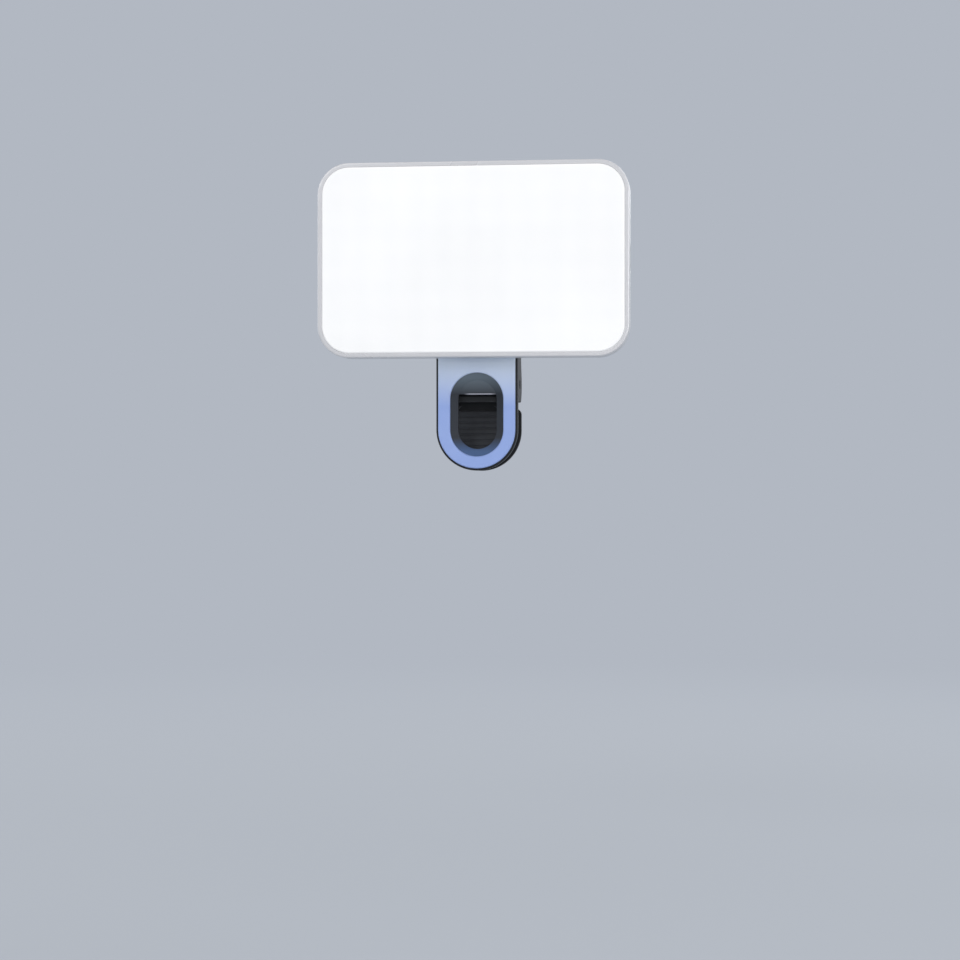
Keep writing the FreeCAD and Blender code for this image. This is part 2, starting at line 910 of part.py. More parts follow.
def shell_bosses():
    """Screw bosses, board posts with their pins, and the fence round the battery."""
    envelope = panel_prism(0.5 * shell_wall, board_back, shell_inner + 0.5 * shell_wall)
    root = shell_inner + 0.5 * shell_wall
    bosses = [along_y(case_boss_radius, x, z, board_back, root) for x, z in case_screw_places()]
    for x, z in control_pin_places():
        bosses.append(along_y(control_post_radius, x, z, control_back, root))
        pin_end = control_front - control_pin_reach
        bosses.append(along_y(control_pin_radius, x, z, pin_end, control_back))
    front = shell_inner - fence_height
    fence = battery_prism(fence_gap + fence_thickness, front, root)
    bosses.append(fence.cut(battery_prism(fence_gap, front, shell_inner)))
    return [boss.common(envelope) for boss in bosses]


def rear_shell():
    """The tray that forms the sides and back of the lamp."""
    tray = panel_prism(0, frame_back, panel_back)
    tray = tray.makeFillet(panel_back_round, edges_in_plane(tray, panel_back))
    tray = tray.makeChamfer(seam_bevel, edges_in_plane(tray, frame_back))
    cavity = panel_prism(shell_wall, frame_back, shell_inner)
    cavity = cavity.makeFillet(cavity_round, edges_in_plane(cavity, shell_inner))
    tray = joined(tray.cut(cavity), *shell_bosses())
    cuts = []
    pocket_floor = panel_back - case_head_sink - case_head_height
    wall_start = shell_inner - overshoot
    wall_end = panel_back + overshoot
    for x, z in case_screw_places():
        cuts.append(along_y(case_hole_radius, x, z, board_back - overshoot, wall_end))
        cuts.append(along_y(case_head_pocket, x, z, pocket_floor, wall_end))
    for z, radius in button_places().values():
        hole = radius + button_clearance
        cuts.append(along_y(hole, button_x, z, wall_start, wall_end))
        cuts.append(flared_mouth(hole, button_hole_bevel, button_x, z, panel_back))
    for x, z in indicator_places():
        cuts.append(along_y(indicator_radius + indicator_clearance, x, z, wall_start, wall_end))
    for x, z in hub_screw_places():
        cuts.append(along_y(hub_screw_pilot, x, z, wall_start, wall_end))
    cuts.append(along_y(hub_spigot_radius + hub_fit, 0, panel_centre_z, wall_start, wall_end))
    half = panel_width / 2
    cuts.append(port_prism(port_wall_clearance, half - shell_wall - overshoot, half + overshoot))
    cuts.append(port_mouth(half))
    return tray.cut(cuts)


def front_frame():
    """The slim bezel with the ledge behind the diffuser, the skirt and the screw posts."""
    rim = panel_prism(0, frame_front, frame_back)
    rim = rim.makeFillet(frame_edge, edges_in_plane(rim, frame_front))
    rim = rim.makeChamfer(seam_bevel, edges_in_plane(rim, frame_back))
    rim = rim.cut(panel_prism(frame_bezel, frame_front, diffuser_back))
    rim = rim.cut(panel_prism(frame_bezel + ledge_width, diffuser_back, frame_back))
    ledge = panel_prism(0.5 * frame_bezel + shell_wall, diffuser_back, ledge_back)
    ledge = ledge.cut(panel_prism(frame_bezel + ledge_width, diffuser_back, ledge_back))
    skirt_inset = shell_wall + frame_lap
    skirt = panel_prism(skirt_inset, diffuser_back, skirt_back)
    skirt = skirt.cut(panel_prism(skirt_inset + skirt_thickness, diffuser_back, skirt_back))
    posts = [along_y(case_post_radius, x, z, diffuser_back, board_front) for x, z in case_screw_places()]
    frame = joined(rim, ledge, skirt, *posts)
    pilots = [
        along_y(case_pilot_radius, x, z, board_front - case_pilot_depth, board_front)
        for x, z in case_screw_places()
    ]
    return frame.cut(pilots)


def diffuser():
    """The milky front sheet, a little proud of the bezel."""
    sheet = panel_prism(frame_bezel + diffuser_clearance, panel_front, diffuser_back)
    return sheet.makeFillet(diffuser_edge, edges_in_plane(sheet, panel_front))


def led_board():
    """The board that fills the lamp behind the diffuser."""
    board = panel_prism(shell_wall + board_clearance, board_front, board_back)
    return board.cut([
        along_y(case_hole_radius, x, z, board_front - overshoot, board_back + overshoot)
        for x, z in case_screw_places()
    ])


def leds():
    """The grid of light chips on the front of the board."""
    chips = []
    for column in range(chip_columns):
        x = (column - (chip_columns - 1) / 2) * chip_pitch_x
        for row in range(chip_rows):
            z = panel_centre_z + (row - (chip_rows - 1) / 2) * chip_pitch_z
            chips.append(block(
                x - chip_width / 2,
                x + chip_width / 2,
                board_front - chip_thickness,
                board_front,
                z - chip_height / 2,
                z + chip_height / 2,
            ))
    return Part.makeCompound(chips)


def reflector_frame():
    """The white ring round the light chips, which widens towards the diffuser."""
    inset = shell_wall + frame_lap + skirt_thickness + reflector_clearance
    outer = panel_prism(inset, ledge_back, board_front)
    near = inset + reflector_wall
    far = near - reflector_taper

    def edge_wire(distance, y):
        return rounded_rectangle(
            panel_width - 2 * distance, panel_height - 2 * distance, panel_corner - distance,
            y, 0, panel_centre_z
        )

    cavity = Part.makeLoft([edge_wire(far, ledge_back), edge_wire(near, board_front)], True, True)
    sleeve = case_post_radius + reflector_clearance
    sleeves = [
        along_y(sleeve + reflector_wall / 2, x, z, ledge_back, board_front).common(outer)
        for x, z in case_screw_places()
    ]
    ring = joined(outer.cut(cavity), *sleeves)
    return ring.cut([along_y(sleeve, x, z, ledge_back, board_front) for x, z in case_screw_places()])


def cross_head(radius, height, shank_radius, shank_length, x, z, seat):
    """A small cross-head screw. Its head stands behind the seat and its shank runs forwards."""
    head = along_y(radius, x, z, seat, seat + height)
    head = head.makeFillet(0.3 * height, edges_in_plane(head, seat + height))
    shank = along_y(shank_radius, x, z, seat - shank_length, seat)
    deep = seat + height - min(drive_depth, 0.7 * height)
    a = drive_length / 2
    b = drive_width / 2
    top = seat + height + overshoot
    cross = [block(x - a, x + a, deep, top, z - b, z + b), block(x - b, x + b, deep, top, z - a, z + a)]
    return joined(head, shank).cut(cross)


def case_screws():
    """Four screws from the back, through the board, into the front frame."""
    seat = panel_back - case_head_sink - case_head_height
    screws = [
        cross_head(case_head_radius, case_head_height, case_shank_radius, case_screw_length, x, z, seat)
        for x, z in case_screw_places()
    ]
    return Part.makeCompound(screws)


def hub_screws():
    """Screws from inside the shell into the hub. Their heads are inside."""
    length = shell_wall + hub_screw_reach
    height = hub_screw_head_height
    screws = []
    for x, z in hub_screw_places():
        screw = cross_head(hub_screw_head_radius, height, hub_screw_shank, length, x, z, shell_inner)
        screws.append(screw.mirror(vec(0, shell_inner, 0), vec(0, 1, 0)))
    return Part.makeCompound(screws)


def battery():
    """The flat cell."""
    back = shell_inner - tape_thickness
    cell = battery_prism(0, back - battery_thickness, back)
    ends = edges_in_plane(cell, back) + edges_in_plane(cell, back - battery_thickness)
    return cell.makeFillet(0.2 * battery_thickness, ends)


def battery_tape():
    """The sticky pad behind the cell."""
    return battery_prism(-tape_inset, shell_inner - tape_thickness, shell_inner)


def control_board():
    """The board with the switches and the charging port."""
    a = control_width / 2
    b = control_height / 2
    board = block(
        control_x - a,
        control_x + a,
        control_front,
        control_back,
        panel_centre_z - b,
        panel_centre_z + b,
    )
    hole = control_pin_radius + control_hole_clearance
    holes = [
        along_y(hole, x, z, control_front - overshoot, control_back + overshoot)
        for x, z in control_pin_places()
    ]
    reach = port_width / 2 + port_notch_clearance
    notch = block(
        port_inner - port_notch_clearance,
        control_right + overshoot,
        control_front - overshoot,
        control_back + overshoot,
        panel_centre_z - reach,
        panel_centre_z + reach,
    )
    return board.cut(holes + [notch])


def lead_path(start, end):
    """A gentle S of two arcs between two level points at one height."""
    middle = (start + end) * 0.5
    rise = end.y - start.y
    quarter = 0.25 * (end.x - start.x)
    near = vec(start.x + quarter, start.y + rise * lead_sag, start.z)
    far = vec(end.x - quarter, end.y - rise * lead_sag, end.z)
    return Part.Wire([Part.Arc(start, near, middle).toShape(), Part.Arc(middle, far, end).toShape()])


def battery_leads():
    """The two leads from the cell to the plug on the control board."""
    leads = []
    for z in (plug_z - lead_pitch / 2, plug_z + lead_pitch / 2):
        start = vec(battery_right + lead_end_gap, shell_inner - lead_cell_depth, z)
        end = vec(plug_x - lead_end_gap, control_back + plug_thickness / 2, z)
        path = lead_path(start, end)
        tangent = path.Edges[0].tangentAt(path.Edges[0].FirstParameter)
        ring = Part.Wire(Part.makeCircle(lead_radius, start, tangent))
        leads.append(path.makePipeShell([ring], True, False))
    return Part.makeCompound(leads)


def battery_plug():
    """The plug that joins the leads to the control board."""
    half = plug_height / 2
    back = control_back + plug_thickness
    return block(plug_x, plug_x + plug_width, control_back, back, plug_z - half, plug_z + half)


def board_link():
    """The flat connector between the control board and the light board."""
    x = control_right - control_width + link_inset
    z = panel_centre_z
    return block(x, x + link_width, board_back, control_front, z - link_height / 2, z + link_height / 2)


def tact_switches():
    """The three push switches under the buttons."""
    half = switch_size / 2
    top = control_back + switch_height
    return Part.makeCompound([
        block(button_x - half, button_x + half, control_back, top, z - half, z + half)
        for z, radius in button_places().values()
    ])


def indicator_leds():
    """The small lights behind the charge indicator."""
    half = indicator_chip / 2
    return Part.makeCompound([
        block(x - half, x + half, control_back, control_back + indicator_chip_height, z - half, z + half)
        for x, z in indicator_places()
    ])


def indicator_lens():
    """A clear bar inside the shell with a round window for each light."""
    places = indicator_places()
    half = indicator_bar_width / 2
    bar = block(
        indicator_x - half,
        indicator_x + half,
        shell_inner - indicator_bar_thickness,
        shell_inner,
        places[0][1] - half,
        places[-1][1] + half,
    )
    windows = [along_y(indicator_radius, x, z, shell_inner, panel_back) for x, z in places]
    return joined(bar, *windows)


def button(z, radius):
    """A round cap through the back, with a collar inside and a stem over its switch."""
    cap = along_y(radius, button_x, z, shell_inner - button_flange_gap, panel_back + button_proud)
    cap = cap.makeFillet(button_edge, edges_in_plane(cap, panel_back + button_proud))
    flange_back = shell_inner - button_flange_gap
    flange_front = flange_back - button_flange_thickness
    flange = along_y(radius + button_flange, button_x, z, flange_front, flange_back)
    switch_top = control_back + switch_height
    stem_end = switch_top + button_travel + switch_spare
    stem = along_y(button_stem_radius, button_x, z, stem_end, flange_front)
    return joined(cap, flange, stem)


def usb_port():
    """The metal sleeve of the charging port."""
    sleeve = port_prism(0, port_inner, port_outer)
    return sleeve.cut(port_prism(-port_wall, port_inner + 2 * port_wall, port_outer + overshoot))


def usb_tongue():
    """The contact tongue in the charging port."""
    return block(
        port_inner + 2 * port_wall,
        port_outer - tongue_gap,
        port_y - tongue_thickness / 2,
        port_y + tongue_thickness / 2,
        panel_centre_z - tongue_width / 2,
        panel_centre_z + tongue_width / 2,
    )


def swivel_hub():
    """The round hub on the lamp's back, with the shaft that turns in the arm."""
    disc = along_y(hub_radius, 0, panel_centre_z, panel_back, hub_back)
    disc = disc.makeFillet(hub_edge, edges_in_plane(disc, hub_back))
    spigot = along_y(hub_spigot_radius, 0, panel_centre_z, panel_back - hub_spigot_height, panel_back)
    shaft = along_y(shaft_radius, 0, panel_centre_z, hub_back, shaft_end)
    hub = joined(disc, spigot, shaft)
    screw_tip = shaft_end + keeper_thickness - pivot_screw_length
    cuts = [along_y(pivot_screw_pilot, 0, panel_centre_z, screw_tip - 0.5, shaft_end)]
    for x, z in hub_screw_places():
        cuts.append(along_y(hub_screw_pilot, x, z, panel_back, panel_back + hub_screw_reach + 0.2))
    return hub.cut(cuts)


def flat_washer(radius, bore, start, thickness):
    disc = along_y(radius, 0, panel_centre_z, start, start + thickness)
    return disc.cut(along_y(bore, 0, panel_centre_z, start, start + thickness))


def friction_washer():
    """The slippery washer between the hub and the arm."""
    bore = shaft_radius + washer_bore_clearance
    return flat_washer(hub_radius - washer_rim_inset, bore, hub_back + washer_play, washer_thickness)


def keeper_washer():
    """The washer on the shaft's end that holds the arm."""
    return flat_washer(keeper_radius, pivot_screw_shank + 0.1, shaft_end, keeper_thickness)


def pivot_screw():
    """The screw that clamps the keeper washer to the shaft."""
    return cross_head(
        pivot_screw_head_radius,
        pivot_screw_head_height,
        pivot_screw_shank,
        pivot_screw_length,
        0,
        panel_centre_z,
        shaft_end + keeper_thickness,
    )


def pivot_cap():
    """The cap that closes the arm behind the screw."""
    top = boss_back + cap_dome
    cap = along_y(counterbore_radius - cap_fit, 0, panel_centre_z, boss_back - cap_thickness, top)
    return cap.makeFillet(0.8 * cap_dome, edges_in_plane(cap, top))


def main():
    os.makedirs("parts", exist_ok=True)
    makers = [
        front_arm, face_plate, front_pad, hinge_pin, torsion_spring, rear_arm, rear_pad,
        friction_washer, pivot_cap, swivel_hub, keeper_washer, pivot_screw, hub_screws,
        rear_shell, front_frame, diffuser, reflector_frame, led_board, leds, case_screws,
        battery, battery_tape, battery_leads, battery_plug, board_link,
        control_board, tact_switches, indicator_leds, indicator_lens,
        usb_port, usb_tongue,
    ]
    pieces = {maker.__name__: maker() for maker in makers}
    for name, place in button_places().items():
        pieces[name] = button(*place)
    for name, shape in pieces.items():
        shape.exportStep("parts/" + name + ".step")
        print(name, shape.isValid(), len(shape.Solids), round(shape.Volume, 1))


main()
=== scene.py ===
import math

import bmesh
import bpy
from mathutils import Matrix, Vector
from mathutils.geometry import delaunay_2d_cdt


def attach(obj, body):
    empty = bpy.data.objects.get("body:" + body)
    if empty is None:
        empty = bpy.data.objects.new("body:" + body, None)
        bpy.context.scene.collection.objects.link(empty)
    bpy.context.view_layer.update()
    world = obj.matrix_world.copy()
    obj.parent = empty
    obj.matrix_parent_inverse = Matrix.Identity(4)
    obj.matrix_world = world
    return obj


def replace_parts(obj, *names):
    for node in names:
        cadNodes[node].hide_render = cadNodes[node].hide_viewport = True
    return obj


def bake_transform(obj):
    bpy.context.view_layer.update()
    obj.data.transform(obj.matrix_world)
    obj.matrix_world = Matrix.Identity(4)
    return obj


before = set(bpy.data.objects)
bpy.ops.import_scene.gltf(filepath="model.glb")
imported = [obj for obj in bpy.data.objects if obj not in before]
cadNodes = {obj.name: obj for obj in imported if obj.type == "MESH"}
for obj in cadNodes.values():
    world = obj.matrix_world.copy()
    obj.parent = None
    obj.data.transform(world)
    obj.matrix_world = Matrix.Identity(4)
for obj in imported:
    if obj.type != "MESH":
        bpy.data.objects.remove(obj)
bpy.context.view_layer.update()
mm = 0.001


# Camera, far back with a long lens and a little to the right of the front
viewpoint = {"azimuth": 6.5, "distance": 0.8, "aim": (0.63 * mm, 0, -28.75 * mm), "lens": 81.4}


def placeCamera(look):
    turn = math.radians(look["azimuth"])
    back = Vector((math.sin(turn), -math.cos(turn), 0))
    lensData = bpy.data.cameras.new("frontView")
    lensData.lens = look["lens"]
    lensData.sensor_width = 36
    lensData.clip_start = 0.01
    camera = bpy.data.objects.new("frontView", lensData)
    camera.location = Vector(look["aim"]) + back * look["distance"]
    camera.rotation_euler = (-back).to_track_quat("-Z", "Y").to_euler()
    bpy.context.collection.objects.link(camera)
    bpy.context.scene.camera = camera


placeCamera(viewpoint)
print("camera placed")


# Small tools for the finishes. A tone is a colour as it looks on screen, 0 to 255.
def tone(red, green, blue):
    linear = []
    for part in (red, green, blue):
        part /= 255
        linear.append(part / 12.92 if part <= 0.04045 else ((part + 0.055) / 1.055) ** 2.4)
    return (*linear, 1.0)


def startFinish(name):
    finish = bpy.data.materials.new(name)
    finish.use_nodes = True
    return finish, finish.node_tree, finish.node_tree.nodes["Principled BSDF"]


def setSockets(tree, node, sockets):
    for socket, value in sockets.items():
        if isinstance(value, bpy.types.NodeSocket):
            tree.links.new(value, node.inputs[socket])
        else:
            node.inputs[socket].default_value = value


def addNode(tree, kind, sockets=None, **settings):
    made = tree.nodes.new("ShaderNode" + kind)
    for setting, value in settings.items():
        setattr(made, setting, value)
    setSockets(tree, made, sockets or {})
    return made


def reckon(tree, operation, first, second=0.0):
    return addNode(tree, "Math", {0: first, 1: second}, operation=operation).outputs[0]


def reckonVector(tree, operation, first, second):
    return addNode(tree, "VectorMath", {0: first, 1: second}, operation=operation).outputs[0]


def spot(tree):
    return addNode(tree, "TexCoord").outputs["Object"]


def noise(tree, scale, detail=2.0, stretch=(1, 1, 1)):
    where = spot(tree)
    if stretch != (1, 1, 1):
        where = addNode(tree, "Mapping", {"Vector": where, "Scale": stretch}).outputs[0]
    return addNode(tree, "TexNoise", {"Vector": where, "Scale": scale, "Detail": detail}).outputs["Fac"]


def spread(tree, value, low, high, start=0.35, end=0.65):
    sockets = {"Value": value, "From Min": start, "From Max": end, "To Min": low, "To Max": high}
    return addNode(tree, "MapRange", sockets, clamp=True).outputs[0]


def blendTones(tree, factor, first, second):
    mix = addNode(tree, "Mix", {0: factor, 6: first, 7: second}, data_type="RGBA")
    return mix.outputs[2]


# Two tones of one surface that drift into each other
def clouded(tree, size, detail, first, second):
    return blendTones(tree, spread(tree, noise(tree, size, detail), 0, 1), tone(*first), tone(*second))


def bump(tree, height, depth, under=None):
    sockets = {"Height": height, "Distance": depth, "Strength": 1.0}
    if under:
        sockets["Normal"] = under
    return addNode(tree, "Bump", sockets).outputs[0]


# How near a point is to an outer edge: the rounded normal leans away from the true one there
edgeLook = {"samples": 4, "lean": (0.80, 0.99), "patchy": (0.42, 0.62)}


def edgeWear(tree, width, patches, look=edgeLook):
    rounded = addNode(tree, "Bevel", {"Radius": width}, samples=look["samples"]).outputs[0]
    true = addNode(tree, "NewGeometry").outputs["Normal"]
    lean = addNode(tree, "VectorMath", {0: rounded, 1: true}, operation="DOT_PRODUCT").outputs["Value"]
    edge = spread(tree, lean, 1.0, 0.0, *look["lean"])
    patchy = spread(tree, noise(tree, patches, 3), 0.0, 1.0, *look["patchy"])
    return reckon(tree, "MULTIPLY", edge, patchy)


# Distance from an axis that runs along X, Y or Z through a place in the clip or lamp
def ringDistance(tree, place, across):
    away = reckonVector(tree, "SUBTRACT", spot(tree), place)
    flat = reckonVector(tree, "MULTIPLY", away, across)
    return addNode(tree, "VectorMath", {0: flat}, operation="LENGTH").outputs["Value"]


# Fine rings about such an axis, as a lathe leaves them
def spunRings(tree, look):
    away = ringDistance(tree, look["centre"], look["across"])
    return reckon(tree, "SINE", reckon(tree, "MULTIPLY", away, 2 * math.pi / look["ringPitch"]))


def dress(finish, *names):
    for name in names:
        cadNodes[name].data.materials.clear()
        cadNodes[name].data.materials.append(finish)


# Black moulding of the clip: spark-eroded grain, faint mottling, edges rubbed paler
clipMoulding = {
    "tone": (24, 26, 29), "mottled": (29, 31, 34), "mottle": 240.0, "smudge": 960.0,
    "roughness": (0.48, 0.55), "specular": 0.30, "grain": 2300.0, "grainDepth": 0.012 * mm,
    "worn": (74, 77, 82), "wearWidth": 0.35 * mm, "wearPatches": 320.0,
}
hubMoulding = dict(clipMoulding, tone=(29, 31, 34), mottled=(35, 37, 41), roughness=(0.48, 0.60))
# Tones of the window bevel: painted highlight at the top, painted bluish reflection at the bottom
windowBevelPaintedLight = {
    "rimRadius": 9.78 * mm, "low": -10.3 * mm, "high": 0.8 * mm, "depth": -2.5 * mm, "sides": (53, 57, 64),
    "top": (112, 124, 133), "topSpan": (2 * mm, 8 * mm),
    "bottom": (77, 101, 140), "bottomSpan": (-8 * mm, -3 * mm),
}
# Thin painted highlight along the lower edge of the brow over the window
browHighlightLook = {
    "low": 2.55 * mm, "high": 3.05 * mm, "middle": 1.0 * mm, "fade": (3.9 * mm, 6.0 * mm),
    "depth": -1.4 * mm, "tone": (176, 176, 186),
}


def mouldedBlack(name, look, extras=()):
    finish, tree, shader = startFinish(name)
    base = clouded(tree, look["mottle"], 4, look["tone"], look["mottled"])
    wear = edgeWear(tree, look["wearWidth"], look["wearPatches"])
    base = blendTones(tree, wear, base, tone(*look["worn"]))
    for extra in extras:
        base = extra(tree, base)
    setSockets(tree, shader, {
        "Base Color": base,
        "Roughness": spread(tree, noise(tree, look["smudge"], 2), *look["roughness"]),
        "Normal": bump(tree, noise(tree, look["grain"], 3), look["grainDepth"]),
        "Specular IOR Level": look["specular"],
    })
    return finish


# Smooth bevel round the window with painted light: a painted highlight on its upper end, as if lit from
# above, and a painted bluish reflection on its lower end
def bevelPaintedLight(tree, base, look=windowBevelPaintedLight):
    place = addNode(tree, "SeparateXYZ", {0: spot(tree)}).outputs
    limits = {"Value": place["Z"], "Min": look["low"], "Max": look["high"]}
    offset = reckon(tree, "SUBTRACT", place["Z"], addNode(tree, "Clamp", limits).outputs[0])
    squares = [reckon(tree, "POWER", part, 2) for part in (place["X"], offset)]
    away = reckon(tree, "SQRT", reckon(tree, "ADD", *squares))
    inside = reckon(tree, "LESS_THAN", away, look["rimRadius"])
    inside = reckon(tree, "MULTIPLY", inside, reckon(tree, "LESS_THAN", place["Y"], look["depth"]))
    upper = spread(tree, offset, 0, 1, *look["topSpan"])
    lower = spread(tree, offset, 1, 0, *look["bottomSpan"])
    ring = blendTones(tree, upper, tone(*look["sides"]), tone(*look["top"]))
    ring = blendTones(tree, lower, ring, tone(*look["bottom"]))
    return blendTones(tree, inside, base, ring)


# Lower edge of the brow over the window: a thin painted highlight along it, fading towards both ends
def paintedBrowHighlight(tree, base, look=browHighlightLook):
    place = addNode(tree, "SeparateXYZ", {0: spot(tree)}).outputs
    aside = reckon(tree, "ABSOLUTE", reckon(tree, "SUBTRACT", place["X"], look["middle"]))
    highlight = spread(tree, aside, 1, 0, *look["fade"])
    for mark in (
        reckon(tree, "GREATER_THAN", place["Z"], look["low"]),
        reckon(tree, "LESS_THAN", place["Z"], look["high"]),
        reckon(tree, "LESS_THAN", place["Y"], look["depth"]),
    ):
        highlight = reckon(tree, "MULTIPLY", highlight, mark)
    return blendTones(tree, highlight, base, tone(*look["tone"]))


dress(mouldedBlack("frontArmBlack", clipMoulding, (bevelPaintedLight, paintedBrowHighlight)), "front_arm")
dress(mouldedBlack("rearArmBlack", clipMoulding), "rear_arm")
dress(mouldedBlack("hubMouldingBlack", hubMoulding), "swivel_hub")


# Cap behind the pivot: the same moulding with spun rings about the pivot
pivotCapLook = {
    "tone": (27, 29, 32), "worn": (90, 92, 96), "wearWidth": 0.3 * mm, "wearPatches": 400.0, "smudge": 500.0,
    "roughness": (0.28, 0.38), "centre": (0, 0, 50.8 * mm), "across": (1, 0, 1),
    "ringPitch": 0.36 * mm, "ringDepth": 0.003 * mm,
}


def spunCap(name, look):
    finish, tree, shader = startFinish(name)
    wear = edgeWear(tree, look["wearWidth"], look["wearPatches"])
    setSockets(tree, shader, {
        "Base Color": blendTones(tree, wear, tone(*look["tone"]), tone(*look["worn"])),
        "Roughness": spread(tree, noise(tree, look["smudge"]), *look["roughness"]),
        "Normal": bump(tree, spunRings(tree, look), look["ringDepth"]),
    })
    return finish


dress(spunCap("pivotCapSpun", pivotCapLook), "pivot_cap")


# Face plate: satin lilac-blue coating, with painted light from the lit panel above that pales it towards its
# top
# The high tone is painted light: the top of the plate as lit by the panel's glow
facePlateLook = {
    "low": (158, 181, 236), "high": (230, 241, 255), "paintedGlowSpan": (-2 * mm, 14 * mm), "cloud": 45.0,
    "drift": 0.06, "metallic": 0.3, "smudge": 260.0, "roughness": (0.34, 0.42), "grain": 4200.0,
    "grainDepth": 0.004 * mm,
}


def coatedPlate(name, look):
    finish, tree, shader = startFinish(name)
    height = addNode(tree, "SeparateXYZ", {0: spot(tree)}).outputs["Z"]
    # Painted light: paler towards the top, standing in for the glow of the lit panel above
    rise = spread(tree, height, 0, 1, *look["paintedGlowSpan"])
    clouds = spread(tree, noise(tree, look["cloud"], 3), -look["drift"], look["drift"])
    glowAndDrift = reckon(tree, "ADD", rise, clouds)
    setSockets(tree, shader, {
        "Base Color": blendTones(tree, glowAndDrift, tone(*look["low"]), tone(*look["high"])),
        "Metallic": look["metallic"],
        "Roughness": spread(tree, noise(tree, look["smudge"], 3), *look["roughness"]),
        "Normal": bump(tree, noise(tree, look["grain"], 2), look["grainDepth"]),
    })
    return finish


dress(coatedPlate("facePlateLilac", facePlateLook), "face_plate")


# Silver lacquer of the lamp's case, with fine flakes, and the smoother one of its bezel
caseLacquer = {
    "tone": (207, 208, 210), "flake": (217, 218, 219), "flakeSize": 14000.0, "metallic": 0.3, "cloud": 30.0,
    "roughness": (0.34, 0.42), "grain": 8400.0, "grainDepth": 0.0012 * mm, "coat": 0.15,
    "coatRoughness": 0.2, "soften": 0.3 * mm,
}
bezelLacquer = dict(
    caseLacquer, tone=(216, 215, 217), flake=(226, 225, 226), roughness=(0.26, 0.34), coat=0.35,
)


def silverLacquer(name, look):
    finish, tree, shader = startFinish(name)
    flakes = spread(tree, noise(tree, look["flakeSize"], 1), 0, 1, 0.30, 0.70)
    rounded = addNode(tree, "Bevel", {"Radius": look["soften"]}, samples=6).outputs[0]
    setSockets(tree, shader, {
        "Base Color": blendTones(tree, flakes, tone(*look["tone"]), tone(*look["flake"])),
        "Metallic": look["metallic"],
        "Roughness": spread(tree, noise(tree, look["cloud"], 4), *look["roughness"]),
        "Normal": bump(tree, noise(tree, look["grain"], 2), look["grainDepth"], rounded),
        "Coat Weight": look["coat"],
        "Coat Normal": rounded,
        "Coat Roughness": look["coatRoughness"],
    })
    return finish


dress(silverLacquer("caseLacquerSilver", caseLacquer), "rear_shell")
dress(silverLacquer("bezelLacquerSilver", bezelLacquer), "front_frame")


# Lit milky sheet: evenly white, a trace brighter over each light chip behind it
diffuserLook = {
    "tone": (224, 224, 224), "drifted": (229, 229, 229), "cloud": 25.0, "smudge": 700.0,
    "roughness": (0.30, 0.38), "glow": 0.29, "lit": (255, 255, 255), "between": (247, 248, 250),
    "chipPitch": 10 * mm, "firstChip": (-45 * mm, 0, 25.8 * mm),
}


def litSheet(name, look):
    finish, tree, shader = startFinish(name)
    away = reckonVector(tree, "SUBTRACT", spot(tree), look["firstChip"])
    parts = addNode(tree, "SeparateXYZ", {0: away}).outputs
    turns = 2 * math.pi / look["chipPitch"]
    waves = [reckon(tree, "COSINE", reckon(tree, "MULTIPLY", parts[axis], turns)) for axis in ("X", "Z")]
    over = spread(tree, reckon(tree, "ADD", *waves), 0, 1, -2, 2)
    setSockets(tree, shader, {
        "Base Color": clouded(tree, look["cloud"], 3, look["tone"], look["drifted"]),
        "Roughness": spread(tree, noise(tree, look["smudge"], 2), *look["roughness"]),
        "Emission Color": blendTones(tree, over, tone(*look["between"]), tone(*look["lit"])),
        "Emission Strength": look["glow"],
    })
    return finish


dress(litSheet("diffuserMilkyLit", diffuserLook), "diffuser")


# Metal of the pins, screws, washers and port, with fine lines from turning or drawing
hingePinLook = {
    "tone": (186, 187, 190), "dull": (160, 160, 163), "cloud": 700.0, "smudge": 900.0,
    "roughness": (0.22, 0.36), "centre": (0, 4 * mm, 6.5 * mm), "across": (0, 1, 1),
    "ringPitch": 0.22 * mm, "ringDepth": 0.006 * mm,
}
pivotSteelLook = dict(hingePinLook, tone=(180, 180, 182), centre=(0, 0, 50.8 * mm), across=(1, 0, 1))
caseScrewLook = {"tone": (58, 59, 62), "roughness": (0.30, 0.46), "stretch": (1, 1, 1), "grain": 1800.0}
hubScrewLook = dict(caseScrewLook, tone=(178, 179, 181), roughness=(0.26, 0.40))
portSteelLook = dict(
    caseScrewLook, tone=(184, 186, 190), roughness=(0.20, 0.34), stretch=(0.08, 1, 1), grain=3200.0,
)
springWireLook = dict(caseScrewLook, tone=(178, 180, 184), roughness=(0.16, 0.30), grain=2600.0)
drawnLines = {"shade": 0.82, "smudge": 0.3, "depth": 0.003 * mm}  # smudge is a share of the grain


def turnedSteel(name, look):
    finish, tree, shader = startFinish(name)
    setSockets(tree, shader, {
        "Base Color": clouded(tree, look["cloud"], 3, look["tone"], look["dull"]),
        "Metallic": 1.0,
        "Roughness": spread(tree, noise(tree, look["smudge"], 3), *look["roughness"]),
        "Normal": bump(tree, spunRings(tree, look), look["ringDepth"]),
    })
    return finish


def drawnSteel(name, look, drawn=drawnLines):
    finish, tree, shader = startFinish(name)
    lines = noise(tree, look["grain"], 3, look["stretch"])
    dark = tuple(drawn["shade"] * part for part in look["tone"])
    setSockets(tree, shader, {
        "Base Color": blendTones(tree, spread(tree, lines, 0, 1), tone(*look["tone"]), tone(*dark)),
        "Metallic": 1.0,
        "Roughness": spread(tree, noise(tree, look["grain"] * drawn["smudge"], 3), *look["roughness"]),
        "Normal": bump(tree, lines, drawn["depth"]),
    })
    return finish


